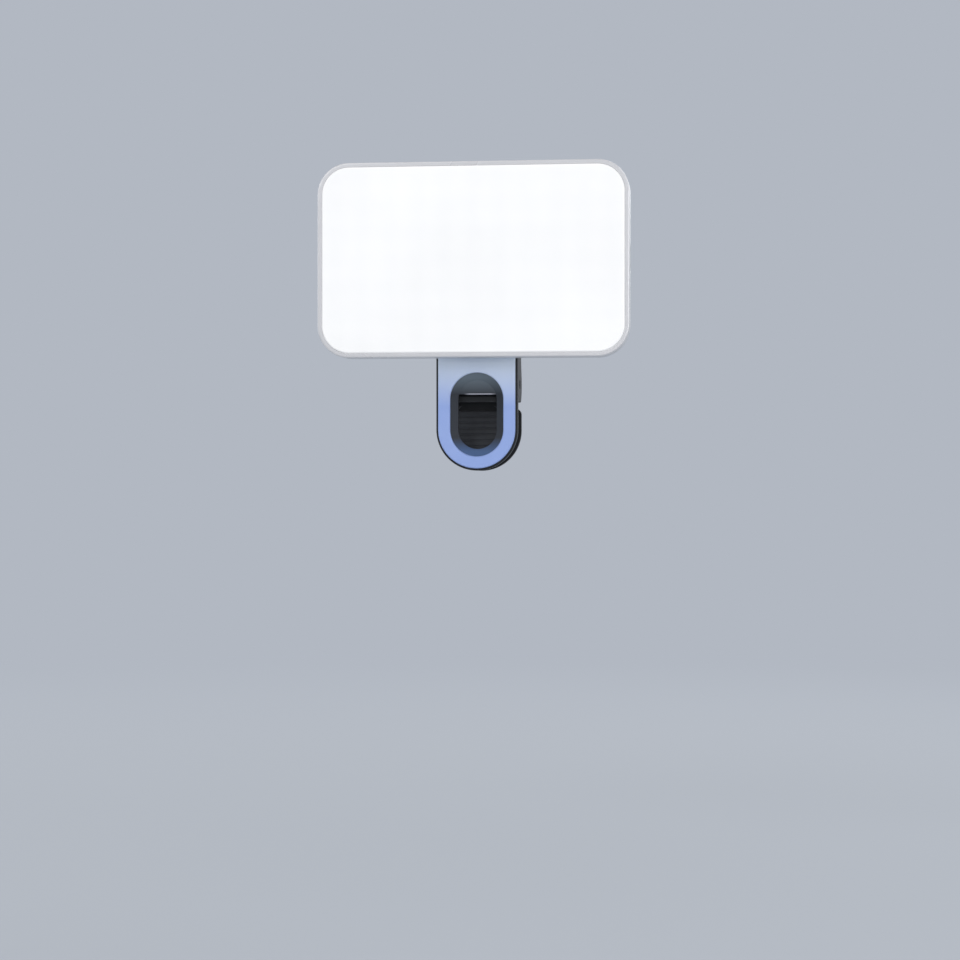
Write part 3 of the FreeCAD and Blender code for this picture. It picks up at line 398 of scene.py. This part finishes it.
dress(turnedSteel("hingePinTurned", hingePinLook), "hinge_pin")
dress(turnedSteel("pivotSteelTurned", pivotSteelLook), "keeper_washer", "pivot_screw")
dress(drawnSteel("caseScrewBlackZinc", caseScrewLook), "case_screws")
dress(drawnSteel("hubScrewZinc", hubScrewLook), "hub_screws")
dress(drawnSteel("portSleeveSteel", portSteelLook), "usb_port")


# Plain plastics: washer, plug, reflector, tongue, link, buttons and their marks
washerNylon = {
    "tone": (222, 222, 216), "mottled": (208, 208, 201), "mottle": 220.0, "smudge": 420.0,
    "roughness": (0.34, 0.48), "grain": 900.0, "grainDepth": 0.008 * mm,
}
plugNylon = dict(washerNylon, tone=(224, 220, 204), mottled=(212, 207, 189))
reflectorWhite = dict(washerNylon, tone=(238, 239, 240), mottled=(230, 231, 233), roughness=(0.22, 0.34))
portTongueBlack = dict(
    washerNylon, tone=(27, 27, 29), mottled=(35, 35, 38), roughness=(0.36, 0.50), grain=2000.0,
)
boardLinkBlack = dict(portTongueBlack, tone=(33, 33, 35), mottled=(42, 42, 45))
buttonSatin = dict(
    washerNylon, tone=(150, 153, 160), mottled=(158, 161, 167), roughness=(0.30, 0.42), grain=2600.0,
)
markPaint = dict(buttonSatin, tone=(52, 54, 59), mottled=(60, 62, 67), roughness=(0.34, 0.46))


def plainPlastic(name, look):
    finish, tree, shader = startFinish(name)
    setSockets(tree, shader, {
        "Base Color": clouded(tree, look["mottle"], 3, look["tone"], look["mottled"]),
        "Roughness": spread(tree, noise(tree, look["smudge"], 3), *look["roughness"]),
        "Normal": bump(tree, noise(tree, look["grain"], 2), look["grainDepth"]),
    })
    return finish


dress(plainPlastic("frictionWasherNylon", washerNylon), "friction_washer")
dress(plainPlastic("batteryPlugNylon", plugNylon), "battery_plug")
dress(plainPlastic("reflectorFrameWhite", reflectorWhite), "reflector_frame")
dress(plainPlastic("portTongueBlack", portTongueBlack), "usb_tongue")
dress(plainPlastic("boardLinkBlack", boardLinkBlack), "board_link")
dress(plainPlastic("buttonSatinGrey", buttonSatin), "power_button", "brighter_button", "dimmer_button")


# Boards: solder mask with copper runs that show through it as slightly paler lines
lightBoardLook = {
    "mask": (226, 229, 228), "run": (205, 211, 208), "pitch": 10 * mm, "share": 0.10, "wander": 22.0,
    "drift": 0.6, "runDepth": 0.02 * mm, "smudge": 600.0, "roughness": (0.24, 0.34),
}
controlBoardLook = dict(
    lightBoardLook, mask=(21, 92, 58), run=(36, 122, 78), pitch=2.1 * mm, share=0.30,
    wander=0.22 / (2.1 * mm), roughness=(0.20, 0.32),
)


def solderMask(name, look):
    finish, tree, shader = startFinish(name)
    cell = reckonVector(tree, "DIVIDE", spot(tree), (look["pitch"],) * 3)
    parts = addNode(tree, "SeparateXYZ", {0: cell}).outputs
    bend = spread(tree, noise(tree, look["wander"], 0), -look["drift"], look["drift"])
    runs = []
    for axis in ("X", "Z"):
        saw = reckon(tree, "FRACT", reckon(tree, "ADD", parts[axis], bend))
        runs.append(reckon(tree, "LESS_THAN", saw, look["share"]))
    run = reckon(tree, "MAXIMUM", *runs)
    setSockets(tree, shader, {
        "Base Color": blendTones(tree, run, tone(*look["mask"]), tone(*look["run"])),
        "Roughness": spread(tree, noise(tree, look["smudge"], 2), *look["roughness"]),
        "Normal": bump(tree, run, look["runDepth"]),
    })
    return finish


dress(solderMask("lightBoardMask", lightBoardLook), "led_board")
dress(solderMask("controlBoardMask", controlBoardLook), "control_board")


# Light chips: a yellow phosphor window in a white package, one to each cell of their grid
chipLook = {
    "package": (234, 234, 230), "phosphor": (232, 205, 84), "window": (0.115, 0.145), "pitch": 10 * mm,
    "first": (-45 * mm, 0, 25.8 * mm), "glow": 0.4, "smudge": 1500.0, "roughness": (0.20, 0.40),
}
statusChipLook = dict(
    chipLook, phosphor=(150, 205, 255), window=(0.12, 0.12), pitch=3.2 * mm,
    first=(48.2 * mm, 0, 57.0 * mm), glow=2.5,
)


def chipFace(name, look):
    finish, tree, shader = startFinish(name)
    away = reckonVector(tree, "SUBTRACT", spot(tree), look["first"])
    cell = addNode(tree, "SeparateXYZ", {0: reckonVector(tree, "DIVIDE", away, (look["pitch"],) * 3)}).outputs
    inside = []
    for axis, reach in zip(("X", "Z"), look["window"]):
        near = reckon(tree, "SUBTRACT", cell[axis], reckon(tree, "ROUND", cell[axis]))
        inside.append(reckon(tree, "LESS_THAN", reckon(tree, "ABSOLUTE", near), reach))
    window = reckon(tree, "MULTIPLY", *inside)
    setSockets(tree, shader, {
        "Base Color": blendTones(tree, window, tone(*look["package"]), tone(*look["phosphor"])),
        "Roughness": spread(tree, noise(tree, look["smudge"], 2), *look["roughness"]),
        "Emission Color": blendTones(tree, window, (0, 0, 0, 1), tone(*look["phosphor"])),
        "Emission Strength": look["glow"],
    })
    return finish


dress(chipFace("lightChipPhosphor", chipLook), "leds")
dress(chipFace("chargeChipBlue", statusChipLook), "indicator_leds")


# Charge indicator: clear bar over the four small chips
lensLook = {
    "tone": (226, 234, 240), "drifted": (236, 240, 243), "cloud": 300.0, "smudge": 900.0,
    "frost": (0.10, 0.22), "clear": 0.85, "bending": 1.49,
}


def clearBar(name, look):
    finish, tree, shader = startFinish(name)
    setSockets(tree, shader, {
        "Base Color": clouded(tree, look["cloud"], 2, look["tone"], look["drifted"]),
        "Roughness": spread(tree, noise(tree, look["smudge"]), *look["frost"]),
        "Transmission Weight": look["clear"],
        "IOR": look["bending"],
    })
    return finish


dress(clearBar("indicatorBarClear", lensLook), "indicator_lens")


# Cell, its tape and leads, and the push switches
pouchLook = {
    "tone": (190, 192, 196), "crease": (160, 163, 168), "creases": 130.0, "creaseDepth": 0.3 * mm,
    "metallic": 0.8, "smudge": 60.0, "roughness": (0.24, 0.40),
}
tapeLook = {
    "tone": (46, 46, 48), "mottled": (58, 58, 60), "cells": 2400.0, "cellSpan": (0.1, 0.6),
    "cellDepth": 0.06 * mm, "smudge": 500.0, "roughness": (0.80, 0.95),
}
leadLook = {
    "live": (150, 26, 24), "back": (34, 34, 36), "split": 38.8 * mm, "smudge": 700.0,
    "roughness": (0.45, 0.62), "grain": 1800.0, "grainDepth": 0.006 * mm,
}
switchLook = {
    "cover": (182, 184, 188), "stud": (30, 30, 32), "studReach": 1.05 * mm, "x": 40 * mm,
    "heights": (63.8 * mm, 46.3 * mm, 37.3 * mm), "smudge": 1200.0, "roughness": (0.26, 0.42),
}


def pouchFoil(name, look):
    finish, tree, shader = startFinish(name)
    creases = noise(tree, look["creases"], 5)
    creased = spread(tree, creases, 0, 1)
    setSockets(tree, shader, {
        "Base Color": blendTones(tree, creased, tone(*look["tone"]), tone(*look["crease"])),
        "Metallic": look["metallic"],
        "Roughness": spread(tree, noise(tree, look["smudge"], 4), *look["roughness"]),
        "Normal": bump(tree, creases, look["creaseDepth"]),
    })
    return finish


def foamTape(name, look):
    finish, tree, shader = startFinish(name)
    cells = addNode(tree, "TexVoronoi", {"Vector": spot(tree), "Scale": look["cells"]}).outputs["Distance"]
    walls = spread(tree, cells, 0, 1, *look["cellSpan"])
    setSockets(tree, shader, {
        "Base Color": blendTones(tree, walls, tone(*look["tone"]), tone(*look["mottled"])),
        "Roughness": spread(tree, noise(tree, look["smudge"]), *look["roughness"]),
        "Normal": bump(tree, cells, look["cellDepth"]),
    })
    return finish


def siliconeLeads(name, look):
    finish, tree, shader = startFinish(name)
    height = addNode(tree, "SeparateXYZ", {0: spot(tree)}).outputs["Z"]
    live = reckon(tree, "GREATER_THAN", height, look["split"])
    setSockets(tree, shader, {
        "Base Color": blendTones(tree, live, tone(*look["back"]), tone(*look["live"])),
        "Roughness": spread(tree, noise(tree, look["smudge"], 3), *look["roughness"]),
        "Normal": bump(tree, noise(tree, look["grain"], 2), look["grainDepth"]),
    })
    return finish


def switchCovers(name, look):
    finish, tree, shader = startFinish(name)
    studs = 0.0
    for height in look["heights"]:
        away = ringDistance(tree, (look["x"], 0, height), (1, 0, 1))
        studs = reckon(tree, "MAXIMUM", studs, reckon(tree, "LESS_THAN", away, look["studReach"]))
    setSockets(tree, shader, {
        "Base Color": blendTones(tree, studs, tone(*look["cover"]), tone(*look["stud"])),
        "Metallic": reckon(tree, "SUBTRACT", 1.0, studs),
        "Roughness": spread(tree, noise(tree, look["smudge"], 2), *look["roughness"]),
    })
    return finish


dress(pouchFoil("batteryPouchFoil", pouchLook), "battery")
dress(foamTape("batteryTapeFoam", tapeLook), "battery_tape")
dress(siliconeLeads("batteryLeadSilicone", leadLook), "battery_leads")
dress(switchCovers("tactSwitchCover", switchLook), "tact_switches")
print("finishes on the carried nodes:", len(bpy.data.materials))


def newPiece(name, mesh, finish, body):
    mesh.materials.clear()
    mesh.materials.append(finish)
    piece = bpy.data.objects.new(name, mesh)
    bpy.context.collection.objects.link(piece)
    if body:
        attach(piece, body)
    return piece


# A round wire through points, as a mesh
def wireMesh(name, points, radius, rings=10):
    path = bpy.data.curves.new(name, "CURVE")
    path.dimensions = "3D"
    path.bevel_depth = radius
    path.bevel_resolution = rings
    path.use_fill_caps = True
    line = path.splines.new("POLY")
    line.points.add(len(points) - 1)
    for slot, point in zip(line.points, points):
        slot.co = (*point, 1)
    holder = bpy.data.objects.new(name, path)
    mesh = bpy.data.meshes.new_from_object(holder)
    mesh.name = name
    bpy.data.objects.remove(holder)
    bpy.data.curves.remove(path)
    mesh.shade_smooth()
    mesh.set_sharp_from_angle(angle=math.radians(50))
    return mesh


# Points along an arc in an X-Z plane, from one angle to another in degrees
def arcPoints(x, z, radius, start, end, count):
    points = []
    for i in range(count + 1):
        turn = math.radians(start + (end - start) * i / count)
        points.append((x + radius * math.cos(turn), z + radius * math.sin(turn)))
    return points


# Double torsion spring: each half runs from its leg on the front arm through a coil to the bridge
springLook = {
    "wire": 0.55 * mm, "coil": 2.75 * mm, "turns": 3, "stepsPerTurn": 56, "axis": (4 * mm, 6.5 * mm),
    "outerX": 11.79 * mm, "innerX": 7.5016 * mm, "first": 3.29771, "last": -0.27938,
    "legEnd": (-0.83 * mm, 19.5 * mm), "bridge": (10.877 * mm, 20.5 * mm), "bend": 1.6 * mm, "bendSteps": 12,
    "windsFrom": 11.2 * mm, "windsTo": 8.1 * mm,
}


def springHalf(name, side, look, finish):
    pinY, pinZ = look["axis"]
    points = [Vector((look["outerX"], *look["legEnd"]))]
    sweep = look["last"] + 2 * math.pi * (look["turns"] + 1) - look["first"]
    steps = look["stepsPerTurn"] * look["turns"]
    for step in range(steps + 1):
        share = step / steps
        angle = look["first"] + sweep * share
        x = look["outerX"] + (look["innerX"] - look["outerX"]) * share
        out, rise = look["coil"] * math.cos(angle), look["coil"] * math.sin(angle)
        points.append(Vector((x, pinY + out, pinZ + rise)))
    corner = Vector((look["innerX"], *look["bridge"]))
    up = (corner - points[-1]).normalized()
    inwards = Vector((-1, 0, 0))
    hub = corner - up * look["bend"] + inwards * look["bend"]
    for step in range(look["bendSteps"] + 1):
        turn = math.pi / 2 * step / look["bendSteps"]
        points.append(hub - inwards * look["bend"] * math.cos(turn) + up * look["bend"] * math.sin(turn))
    points.append(Vector((0, *points[-1][1:])))
    points = [Vector((side * point.x, point.y, point.z)) for point in points]
    piece = newPiece(name, wireMesh(name, points, look["wire"]), finish, None)
    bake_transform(piece)
    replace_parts(piece, "torsion_spring")


springWire = drawnSteel("springWireBright", springWireLook)
springHalf("springRight", 1, springLook, springWire)
springHalf("springLeft", -1, springLook, springWire)
print("spring wound")


# Soft pads of the two jaws: a moulded face with rounded grooves and edges that roll off
padLook = {
    "half": 13.7 * mm, "centre": -10.3 * mm, "corner": 1.2 * mm, "leastCorner": 0.2 * mm, "cornerSteps": 6,
    "edgeRoll": 0.45 * mm, "crown": 0.06 * mm, "crownReach": 4 * mm,
    "grooveTop": 1.1 * mm, "groovePitch": 2.2 * mm, "grooveWidth": 0.95 * mm, "grooveDepth": 0.33 * mm,
    "grooveFlank": 0.3 * mm, "grooveMargin": 1.0 * mm, "grooveEnd": 0.35 * mm,
    "rims": (0, 0.05 * mm, 0.14 * mm, 0.28 * mm, 0.45 * mm, 0.75 * mm),
    "step": 0.45 * mm, "rowStep": 0.11 * mm, "rowMargin": 0.8 * mm,
}
frontPadPlace = {
    "face": 0.0, "back": -1.9 * mm, "top": -0.8 * mm, "window": (8.0 * mm, -10.3 * mm, 0.8 * mm),
}
rearPadPlace = {"face": 8.0 * mm, "back": 9.9 * mm, "top": -3.0 * mm, "window": None}
padRubberLook = {
    "tone": (43, 45, 50), "dusty": (62, 64, 69), "dust": 180.0, "dustMost": 0.6, "dustSpan": (0.45, 0.72),
    "smudge": 360.0, "roughness": (0.62, 0.80), "grain": 2100.0, "grainDepth": 0.014 * mm,
    "sheen": 0.08, "sheenRoughness": 0.5,
}


def softRubber(name, look):
    finish, tree, shader = startFinish(name)
    dust = spread(tree, noise(tree, look["dust"], 5), 0, look["dustMost"], *look["dustSpan"])
    setSockets(tree, shader, {
        "Base Color": blendTones(tree, dust, tone(*look["tone"]), tone(*look["dusty"])),
        "Roughness": spread(tree, noise(tree, look["smudge"], 3), *look["roughness"]),
        "Normal": bump(tree, noise(tree, look["grain"], 3), look["grainDepth"]),
        "Sheen Weight": look["sheen"],
        "Sheen Roughness": look["sheenRoughness"],
    })
    return finish


# How far a point lies inside the pad's outline and outside its window
def padInset(x, z, look, place):
    half, centre, top, corner = look["half"], look["centre"], place["top"], look["corner"]
    if z < centre:
        inset = half - math.hypot(x, z - centre)
    else:
        overX = abs(x) - (half - corner)
        overZ = z - (top - corner)
        if overX > 0 and overZ > 0:
            inset = corner - math.hypot(overX, overZ)
        else:
            inset = min(half - abs(x), top - z)
    if place["window"]:
        hole, low, high = place["window"]
        inset = min(inset, math.hypot(x, max(low - z, 0, z - high)) - hole)
    return inset


def padOutline(look, place, inset):
    half, top, centre = look["half"] - inset, place["top"] - inset, look["centre"]
    corner = max(look["corner"] - inset, look["leastCorner"])
    rise, flat = top - corner - centre, 2 * (half - corner)
    sideCount, topCount = max(int(rise / look["step"]), 2), int(flat / look["step"])
    points = arcPoints(0, centre, half, 180, 360, int(math.pi * half / look["step"]))
    points += [(half, centre + rise * i / sideCount) for i in range(1, sideCount)]
    points += arcPoints(half - corner, top - corner, corner, 0, 90, look["cornerSteps"])
    points += [(half - corner - flat * i / topCount, top) for i in range(1, topCount)]
    points += arcPoints(corner - half, top - corner, corner, 90, 180, look["cornerSteps"])
    points += [(-half, centre + rise * i / sideCount) for i in range(sideCount - 1, 0, -1)]
    return points


def windowOutline(look, place, inset):
    hole, low, high = place["window"]
    hole += inset
    count = int(math.pi * hole / look["step"])
    return arcPoints(0, high, hole, 0, 180, count) + arcPoints(0, low, hole, 180, 360, count)


def padDepth(x, z, look, place):
    inset = padInset(x, z, look, place)
    roll = look["edgeRoll"]
    depth = look["crown"] * max(0.0, 1 - inset / look["crownReach"]) ** 2
    if inset < roll:
        depth += roll - math.sqrt(max(roll ** 2 - (roll - inset) ** 2, 0))
    high = place["top"] - look["grooveTop"]
    fromTop = (high - z) / look["groovePitch"] - 0.5
    if -0.5 < fromTop < int((high - look["centre"] + look["half"]) / look["groovePitch"]):
        away = abs(fromTop - round(fromTop)) * look["groovePitch"]
        flank = min(max((look["grooveWidth"] / 2 - away) / look["grooveFlank"], 0), 1)
        within = min(max((inset - look["grooveMargin"]) / look["grooveEnd"], 0), 1)
        flank, within = (t * t * (3 - 2 * t) for t in (flank, within))
        depth = max(depth, look["grooveDepth"] * flank * within)
    return depth


# Points of the pad's face: close rims that follow its edges, then staggered rows
def padPoints(look, place):
    points = []
    for inset in look["rims"]:
        points += padOutline(look, place, inset)
        if place["window"]:
            points += windowOutline(look, place, inset)
    rows = int((place["top"] - look["centre"] + look["half"]) / look["rowStep"])
    columns = int(look["half"] / look["step"])
    for row in range(rows):
        z = place["top"] - look["rowStep"] * row
        for column in range(-columns, columns + 1):
            x = look["step"] * (column + 0.5 * (row % 2))
            if padInset(x, z, look, place) > look["rowMargin"]:
                points.append((x, z))
    return [Vector(point) for point in points]


def softPad(name, look, place, finish, body, node):
    flat, edges, faces, *rest = delaunay_2d_cdt(padPoints(look, place), [], [], 0, 1e-7)
    out = 1 if place["back"] > place["face"] else -1
    pad = bmesh.new()
    made = [pad.verts.new((p.x, place["face"] + out * padDepth(p.x, p.y, look, place), p.y)) for p in flat]
    for face in faces:
        middle = sum((flat[i] for i in face), Vector((0, 0))) / 3
        if padInset(*middle, look, place) > 0:
            pad.faces.new([made[i] for i in face])
    bmesh.ops.delete(pad, geom=[v for v in pad.verts if not v.link_faces], context="VERTS")
    rim = [e for e in pad.edges if e.is_boundary]
    walls = bmesh.ops.extrude_edge_only(pad, edges=rim)["geom"]
    for vert in (g for g in walls if isinstance(g, bmesh.types.BMVert)):
        vert.co.y = place["back"]
    backRim = [g for g in walls if isinstance(g, bmesh.types.BMEdge) and g.is_boundary]
    bmesh.ops.triangle_fill(pad, use_beauty=True, edges=backRim)
    bmesh.ops.recalc_face_normals(pad, faces=pad.faces)
    mesh = bpy.data.meshes.new(name)
    pad.to_mesh(mesh)
    pad.free()
    mesh.shade_smooth()
    mesh.set_sharp_from_angle(angle=math.radians(45))
    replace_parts(newPiece(name, mesh, finish, body), node)


padRubber = softRubber("padRubberGrooved", padRubberLook)
softPad("frontGripPad", padLook, frontPadPlace, padRubber, "clip", "front_pad")
softPad("rearGripPad", padLook, rearPadPlace, padRubber, "jaw", "rear_pad")
print("grip pads moulded")


# Raised marks on the three buttons
markLook = {
    "wire": 0.17 * mm, "flatten": 0.55, "face": -7.9 * mm, "x": 40 * mm, "powerZ": 63.8 * mm,
    "plusZ": 46.3 * mm, "minusZ": 37.3 * mm, "reach": 1.35 * mm, "arc": 1.65 * mm, "arcDrop": 0.2 * mm,
    "arcSpan": (52, -230), "arcSteps": 47, "stroke": (0.2 * mm, 2.1 * mm),
}


def buttonMark(name, lines, finish, body, look):
    mark = bmesh.new()
    for line in lines:
        points = [Vector((look["x"] + x, look["face"], z)) for x, z in line]
        part = wireMesh(name + "Line", points, look["wire"], 4)
        mark.from_mesh(part)
        bpy.data.meshes.remove(part)
    for vert in mark.verts:
        vert.co.y = look["face"] + look["flatten"] * (vert.co.y - look["face"])
    mesh = bpy.data.meshes.new(name)
    mark.to_mesh(mesh)
    mark.free()
    mesh.shade_smooth()
    newPiece(name, mesh, finish, body)


def buttonMarks(look):
    paint = plainPlastic("buttonMarkDark", markPaint)
    arc = arcPoints(0, look["powerZ"] - look["arcDrop"], look["arc"], *look["arcSpan"], look["arcSteps"])
    stroke = [(0, look["powerZ"] + height) for height in look["stroke"]]
    buttonMark("powerMark", [arc, stroke], paint, "power", look)
    reach = look["reach"]
    level = [(-reach, look["plusZ"]), (reach, look["plusZ"])]
    upright = [(0, look["plusZ"] - reach), (0, look["plusZ"] + reach)]
    buttonMark("brighterMark", [level, upright], paint, "brighter", look)
    buttonMark("dimmerMark", [[(-reach, look["minusZ"]), (reach, look["minusZ"])]], paint, "dimmer", look)


buttonMarks(markLook)
print("button marks raised")


# Gilt contacts on both faces of the port's tongue
contactLook = {
    "count": 12, "pitch": 0.5 * mm, "width": 0.26 * mm, "length": 3.4 * mm, "thickness": 0.03 * mm,
    "bevel": 0.008 * mm, "tip": 54.4 * mm, "centre": (-12.6 * mm, 50.8 * mm), "tongueHalf": 0.35 * mm,
}
giltLook = {"tone": (214, 176, 92), "roughness": (0.20, 0.32), "stretch": (0.2, 1, 1), "grain": 2800.0}


def portContacts(look, finish):
    strips = bmesh.new()
    y, z = look["centre"]
    for side in (-1, 1):
        for i in range(look["count"]):
            middle = z + look["pitch"] * (i - (look["count"] - 1) / 2)
            made = bmesh.ops.create_cube(strips, size=1)["verts"]
            for vert in made:
                vert.co.x = look["tip"] + look["length"] * (vert.co.x - 0.5)
                vert.co.y = y + side * (look["tongueHalf"] + look["thickness"] * vert.co.y)
                vert.co.z = middle + look["width"] * vert.co.z
    bmesh.ops.bevel(strips, geom=list(strips.edges), offset=look["bevel"], segments=2, affect="EDGES")
    mesh = bpy.data.meshes.new("portContacts")
    strips.to_mesh(mesh)
    strips.free()
    newPiece("portContacts", mesh, finish, "lamp")


portContacts(contactLook, drawnSteel("contactGilt", giltLook))
print("port contacts laid")


# Studio: pale floor that runs out into a pale background, and soft lamps all round
studio = {
    "floorZ": -170 * mm, "floorRadius": 3.0, "floorSides": 128, "floorTone": (179, 185, 194),
    "floorRoughness": 0.9, "floorSpecular": 0.1, "backTone": (178, 184, 194), "fade": (0.25, 0.95),
    "ambient": 0.62, "lampAim": (0, 0, 30 * mm),
}
lamps = {
    "keyLamp": {"place": (-0.8, -1.2, 0.85), "size": (1.1, 1.1), "watts": 6.6},
    "frontLamp": {"place": (0.85, -1.3, 0.16), "size": (1.6, 0.62), "watts": 5.6},
    "fillLamp": {"place": (1.3, -0.4, 0.6), "size": (1.0, 1.0), "watts": 2.7},
    "backLamp": {"place": (0.7, 1.3, 0.8), "size": (1.2, 1.2), "watts": 9.0},
    "farLamp": {"place": (-1.2, 0.9, 0.3), "size": (1.0, 0.8), "watts": 4.5},
}


def seenDirectly(tree):
    path = addNode(tree, "LightPath").outputs
    mirrored = reckon(tree, "MAXIMUM", path["Is Glossy Ray"], path["Is Transmission Ray"])
    return reckon(tree, "MAXIMUM", path["Is Camera Ray"], mirrored)


def studioWorld(look):
    world = bpy.data.worlds.new("studioWorld")
    world.use_nodes = True
    tree = world.node_tree
    tree.nodes.clear()
    light = addNode(tree, "Background", {"Color": (1, 1, 1, 1), "Strength": look["ambient"]})
    back = addNode(tree, "Background", {"Color": tone(*look["backTone"]), "Strength": 1.0})
    mix = addNode(tree, "MixShader", {0: seenDirectly(tree), 1: light.outputs[0], 2: back.outputs[0]})
    addNode(tree, "OutputWorld", {0: mix.outputs[0]})
    bpy.context.scene.world = world


def studioFloor(look):
    finish, tree, shader = startFinish("studioFloor")
    setSockets(tree, shader, {
        "Base Color": tone(*look["floorTone"]),
        "Roughness": look["floorRoughness"],
        "Specular IOR Level": look["floorSpecular"],
    })
    away = ringDistance(tree, (0, 0, 0), (1, 1, 0))
    start, end = look["fade"]
    sockets = {"Value": away, "From Min": start, "From Max": end}
    fade = addNode(tree, "MapRange", sockets, interpolation_type="SMOOTHSTEP").outputs[0]
    share = reckon(tree, "MULTIPLY", fade, seenDirectly(tree))
    back = addNode(tree, "Emission", {"Color": tone(*look["backTone"]), "Strength": 1.0})
    mix = addNode(tree, "MixShader", {0: share, 1: shader.outputs[0], 2: back.outputs[0]})
    tree.links.new(mix.outputs[0], tree.nodes["Material Output"].inputs[0])
    disc = bmesh.new()
    bmesh.ops.create_circle(disc, cap_ends=True, segments=look["floorSides"], radius=look["floorRadius"])
    mesh = bpy.data.meshes.new("studioFloor")
    disc.to_mesh(mesh)
    disc.free()
    mesh.materials.append(finish)
    floor = bpy.data.objects.new("studioFloor", mesh)
    floor.location.z = look["floorZ"]
    bpy.context.collection.objects.link(floor)


def hangLamps(looks, aim):
    for name, look in looks.items():
        data = bpy.data.lights.new(name, "AREA")
        data.shape = "RECTANGLE"
        data.size, data.size_y = look["size"]
        data.energy = look["watts"]
        lamp = bpy.data.objects.new(name, data)
        lamp.location = look["place"]
        lamp.rotation_euler = (aim - lamp.location).to_track_quat("-Z", "Y").to_euler()
        bpy.context.collection.objects.link(lamp)


studioWorld(studio)
studioFloor(studio)
hangLamps(lamps, Vector(studio["lampAim"]))
bpy.context.scene.view_settings.view_transform = "Standard"
print("studio lit")
